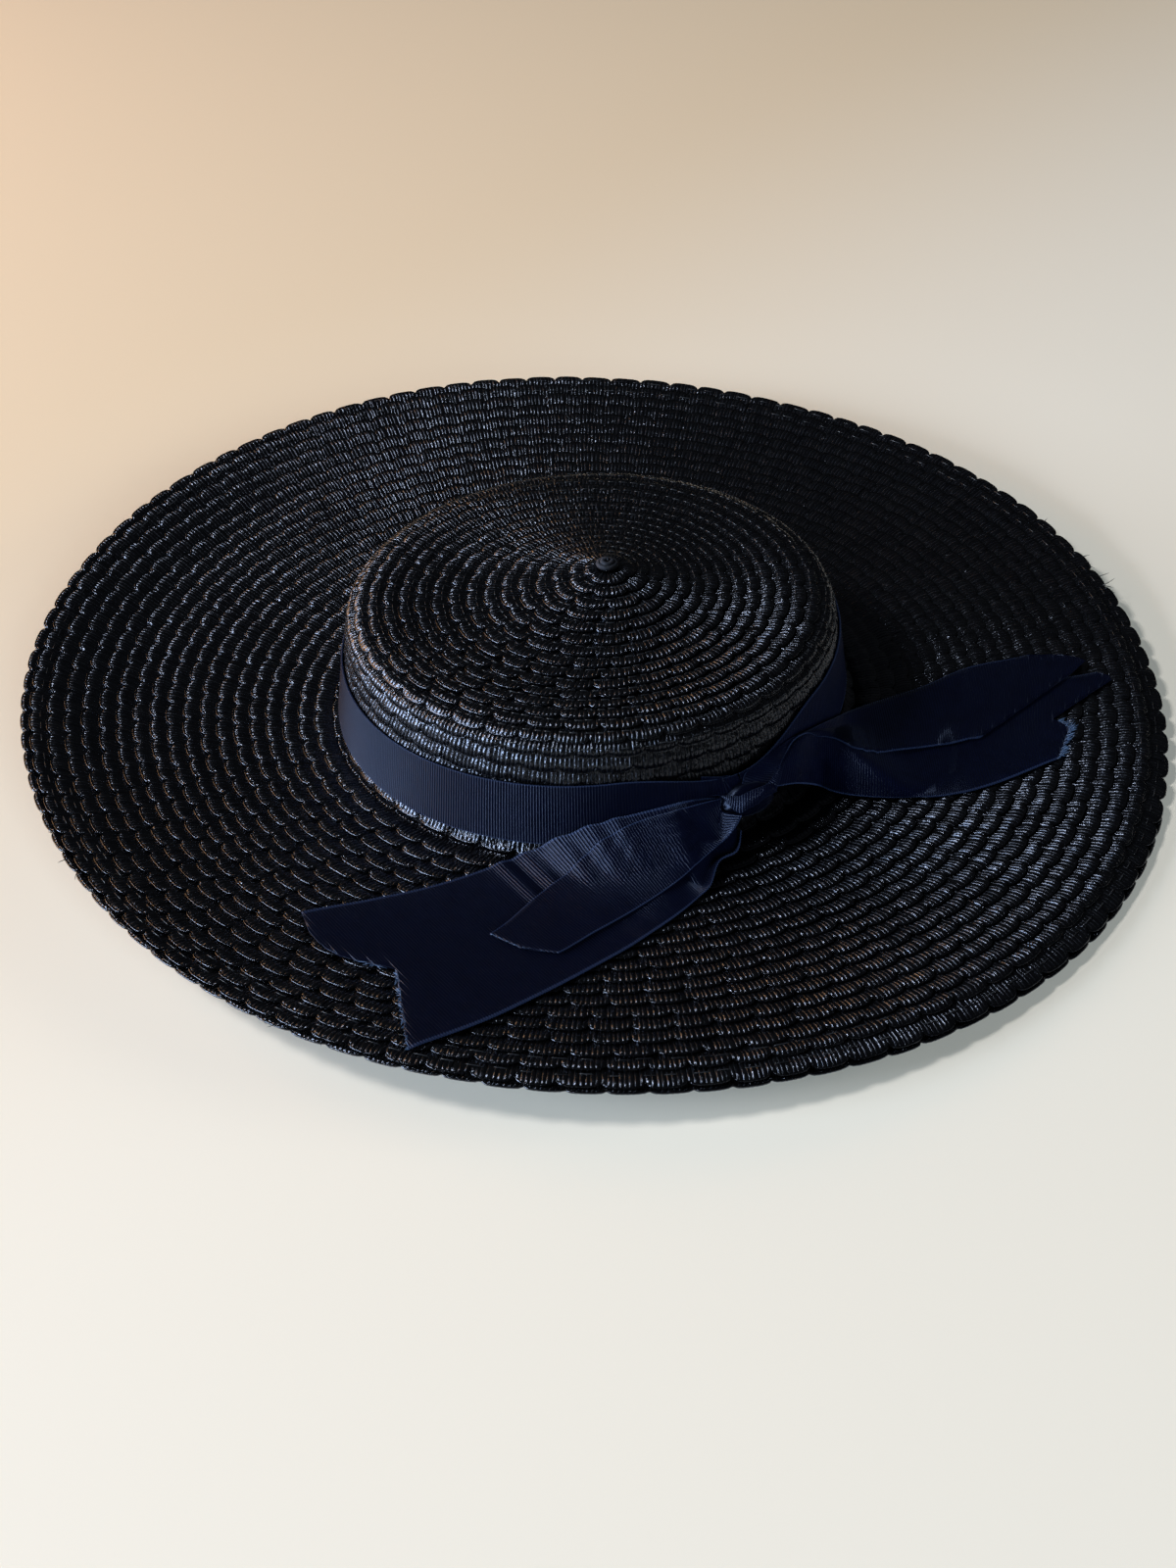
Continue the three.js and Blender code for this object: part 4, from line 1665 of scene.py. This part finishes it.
@dataclass
class Studio:
    """The pale table, the soft lights and the camera."""

    lights: tuple[WindowLight, ...] = (
        WindowLight("window_left", (-2.84, -0.7, 0.8), (1.3, 0.8), (0.64, 0.79, 1.0), 146.0),
        WindowLight("sky_light", (-2.27, -0.1, 2.5), (0.6, 0.6), (0.86, 0.92, 1.0), 76.0),
        WindowLight("warm_corner", (-1.25, 0.55, 0.4), (0.8, 0.5), (1.0, 0.52, 0.22), 10.0),
        WindowLight("wall_right", (2.9, -0.2, 0.75), (1.6, 1.0), (0.95, 1.0, 0.98), 44.0, False),
        WindowLight("front_fill", (0.9, -2.4, 1.2), (1.6, 1.2), (0.60, 0.80, 1.0), 66.0, False),
    )
    aim: Triple = (0.0, 0.0, 0.02)
    ambient: Triple = (0.9, 0.94, 1.0)
    ambient_strength: float = 0.03
    backdrop: Triple = (0.72, 0.70, 0.66)
    table_side: float = 6.0
    pitch: float = 39.23
    roll: float = -1.84
    distance: float = 668.5 * MM
    view_aim: Triple = (-2.9 * MM, -58.0 * MM, 4.8 * MM)
    focal_pixels: float = 2000.0
    image_height: float = 1600.0
    sensor: float = 36.0
    clip_start: float = 0.01

    def build(self) -> None:
        """Sets up the whole studio."""
        self.table()
        self.light()
        self.camera()

    def table(self) -> None:
        """Makes the table top, a plain plane under the hat."""
        deselect_all()
        bpy.ops.mesh.primitive_plane_add(size=self.table_side, location=(0.0, 0.0, 0.0))
        top = bpy.context.object
        top.name = "table_top"
        top.data.materials.append(TableFinish().material())

    def light(self) -> None:
        """Adds the lights and the room's own soft light."""
        for row in self.lights:
            lamp = bpy.data.lights.new(row.name, "AREA")
            lamp.shape = "RECTANGLE"
            lamp.size, lamp.size_y = row.sides
            lamp.color = row.colour
            lamp.energy = row.power
            holder = bpy.data.objects.new(row.name, lamp)
            holder.location = row.place
            toward = Vector(self.aim) - Vector(row.place)
            holder.rotation_euler = toward.to_track_quat("-Z", "Y").to_euler()
            holder.visible_camera = False
            holder.visible_glossy = row.mirrored
            bpy.context.scene.collection.objects.link(holder)
        world = bpy.data.worlds.new("room")
        world.use_nodes = True
        nodes = Nodes(world.node_tree)
        sky = world.node_tree.nodes["Background"]
        sky.inputs["Color"].default_value = (*self.ambient, 1.0)
        sky.inputs["Strength"].default_value = self.ambient_strength
        seen = nodes.add("ShaderNodeBackground", {"Color": (*self.backdrop, 1.0)})
        by_camera = nodes.add("ShaderNodeLightPath").outputs["Is Camera Ray"]
        shaders = {"Fac": by_camera, 1: sky.outputs["Background"], 2: seen.outputs["Background"]}
        mix = nodes.add("ShaderNodeMixShader", shaders)
        nodes.feed(world.node_tree.nodes["World Output"].inputs["Surface"], mix.outputs["Shader"])
        bpy.context.scene.world = world
        bpy.context.scene.view_settings.view_transform = "Standard"

    def camera(self) -> None:
        """Puts the camera at the photograph's place."""
        lens = bpy.data.cameras.new("view")
        lens.sensor_width = self.sensor
        lens.lens = self.focal_pixels / self.image_height * self.sensor
        lens.clip_start = self.clip_start
        holder = bpy.data.objects.new("view", lens)
        tilt = math.radians(self.pitch)
        roll = math.radians(self.roll)
        forward = Vector((0.0, math.cos(tilt), -math.sin(tilt)))
        right = Vector((1.0, 0.0, 0.0))
        up = right.cross(forward)
        rolled_right = math.cos(roll) * right + math.sin(roll) * up
        rolled_up = -math.sin(roll) * right + math.cos(roll) * up
        eye = Vector(self.view_aim) - self.distance * forward
        turn = Matrix((rolled_right, rolled_up, -forward)).transposed().to_4x4()
        holder.matrix_world = Matrix.Translation(eye) @ turn
        bpy.context.scene.collection.objects.link(holder)
        bpy.context.scene.camera = holder


def build_straw(form: HatForm) -> None:
    """Makes the crown and the brim in straw braid, with their sewing thread.

    Args:
        form: The hat's form.
    """
    straw = StrawFinish().material()
    thread = ThreadFinish(
        "straw_thread", dark=(0.004, 0.004, 0.005), light=(0.02, 0.02, 0.022), roughness=0.3
    ).material()
    crown = StrawBraid(CrownGuide(form), rows=24.0, first_turn=0.22, start_angle=0.4, seed=11)
    brim = StrawBraid(
        BrimGuide(form), rows=19.0, first_turn=0.0, start_angle=0.35, seed=12, round_start=True
    )
    shoulder_turn = 15.6
    shoulder = int(np.searchsorted(crown.turn_at, shoulder_turn))
    settle(crown.build("crown_top", 0, shoulder), straw, ("crown",))
    settle(crown.build("crown_side", shoulder, crown.count), straw, ("crown",))
    thirds = [round(brim.count * share / 3) for share in range(4)]
    for name, first, last in zip(("brim_inner", "brim_middle", "brim_outer"), thirds[:-1], thirds[1:]):
        settle(brim.build(name, first, last), straw, ("brim",))
    settle(TipCoil(crown.guide).build(), straw)
    sewing = Stitching(crown, seed=21)
    settle(sewing.build("crown_stitches", first_turn=1.5, last_turn=16.5), thread)
    edge_sewing = Stitching(brim, seed=22, spacing=8.0 * MM, length=4.4 * MM)
    settle(edge_sewing.build("brim_stitches", first_turn=16.5, last_turn=18.6), thread)
    settle(LooseStrands(form, seed=23).build(), thread)


def build_bow(form: HatForm) -> None:
    """Makes the band, the knot and the four tails.

    Args:
        form: The hat's form.
    """
    navy = RibbonFinish().material()
    thread = ThreadFinish(
        "ribbon_thread", dark=(0.02, 0.035, 0.075), light=(0.09, 0.14, 0.24), roughness=0.5
    ).material()
    HatBand(form, navy).build()
    Knot(navy).build()
    for long_tail, short_tail in bow_tails(form, navy):
        under = long_tail.build()
        over = short_tail.build(under)
        for tail, points in ((long_tail, under), (short_tail, over)):
            for number, fray in enumerate(tail.frayed):
                piece = fray.build(f"fray_{tail.name}_{number}", tail, points)
                settle(piece, thread)


def main() -> None:
    """Builds the hat and its studio in order."""
    logging.basicConfig(level=logging.INFO, format="%(name)s: %(message)s")
    form = HatForm()
    Studio().build()
    build_straw(form)
    build_bow(form)


if __name__ == "__main__":
    main()
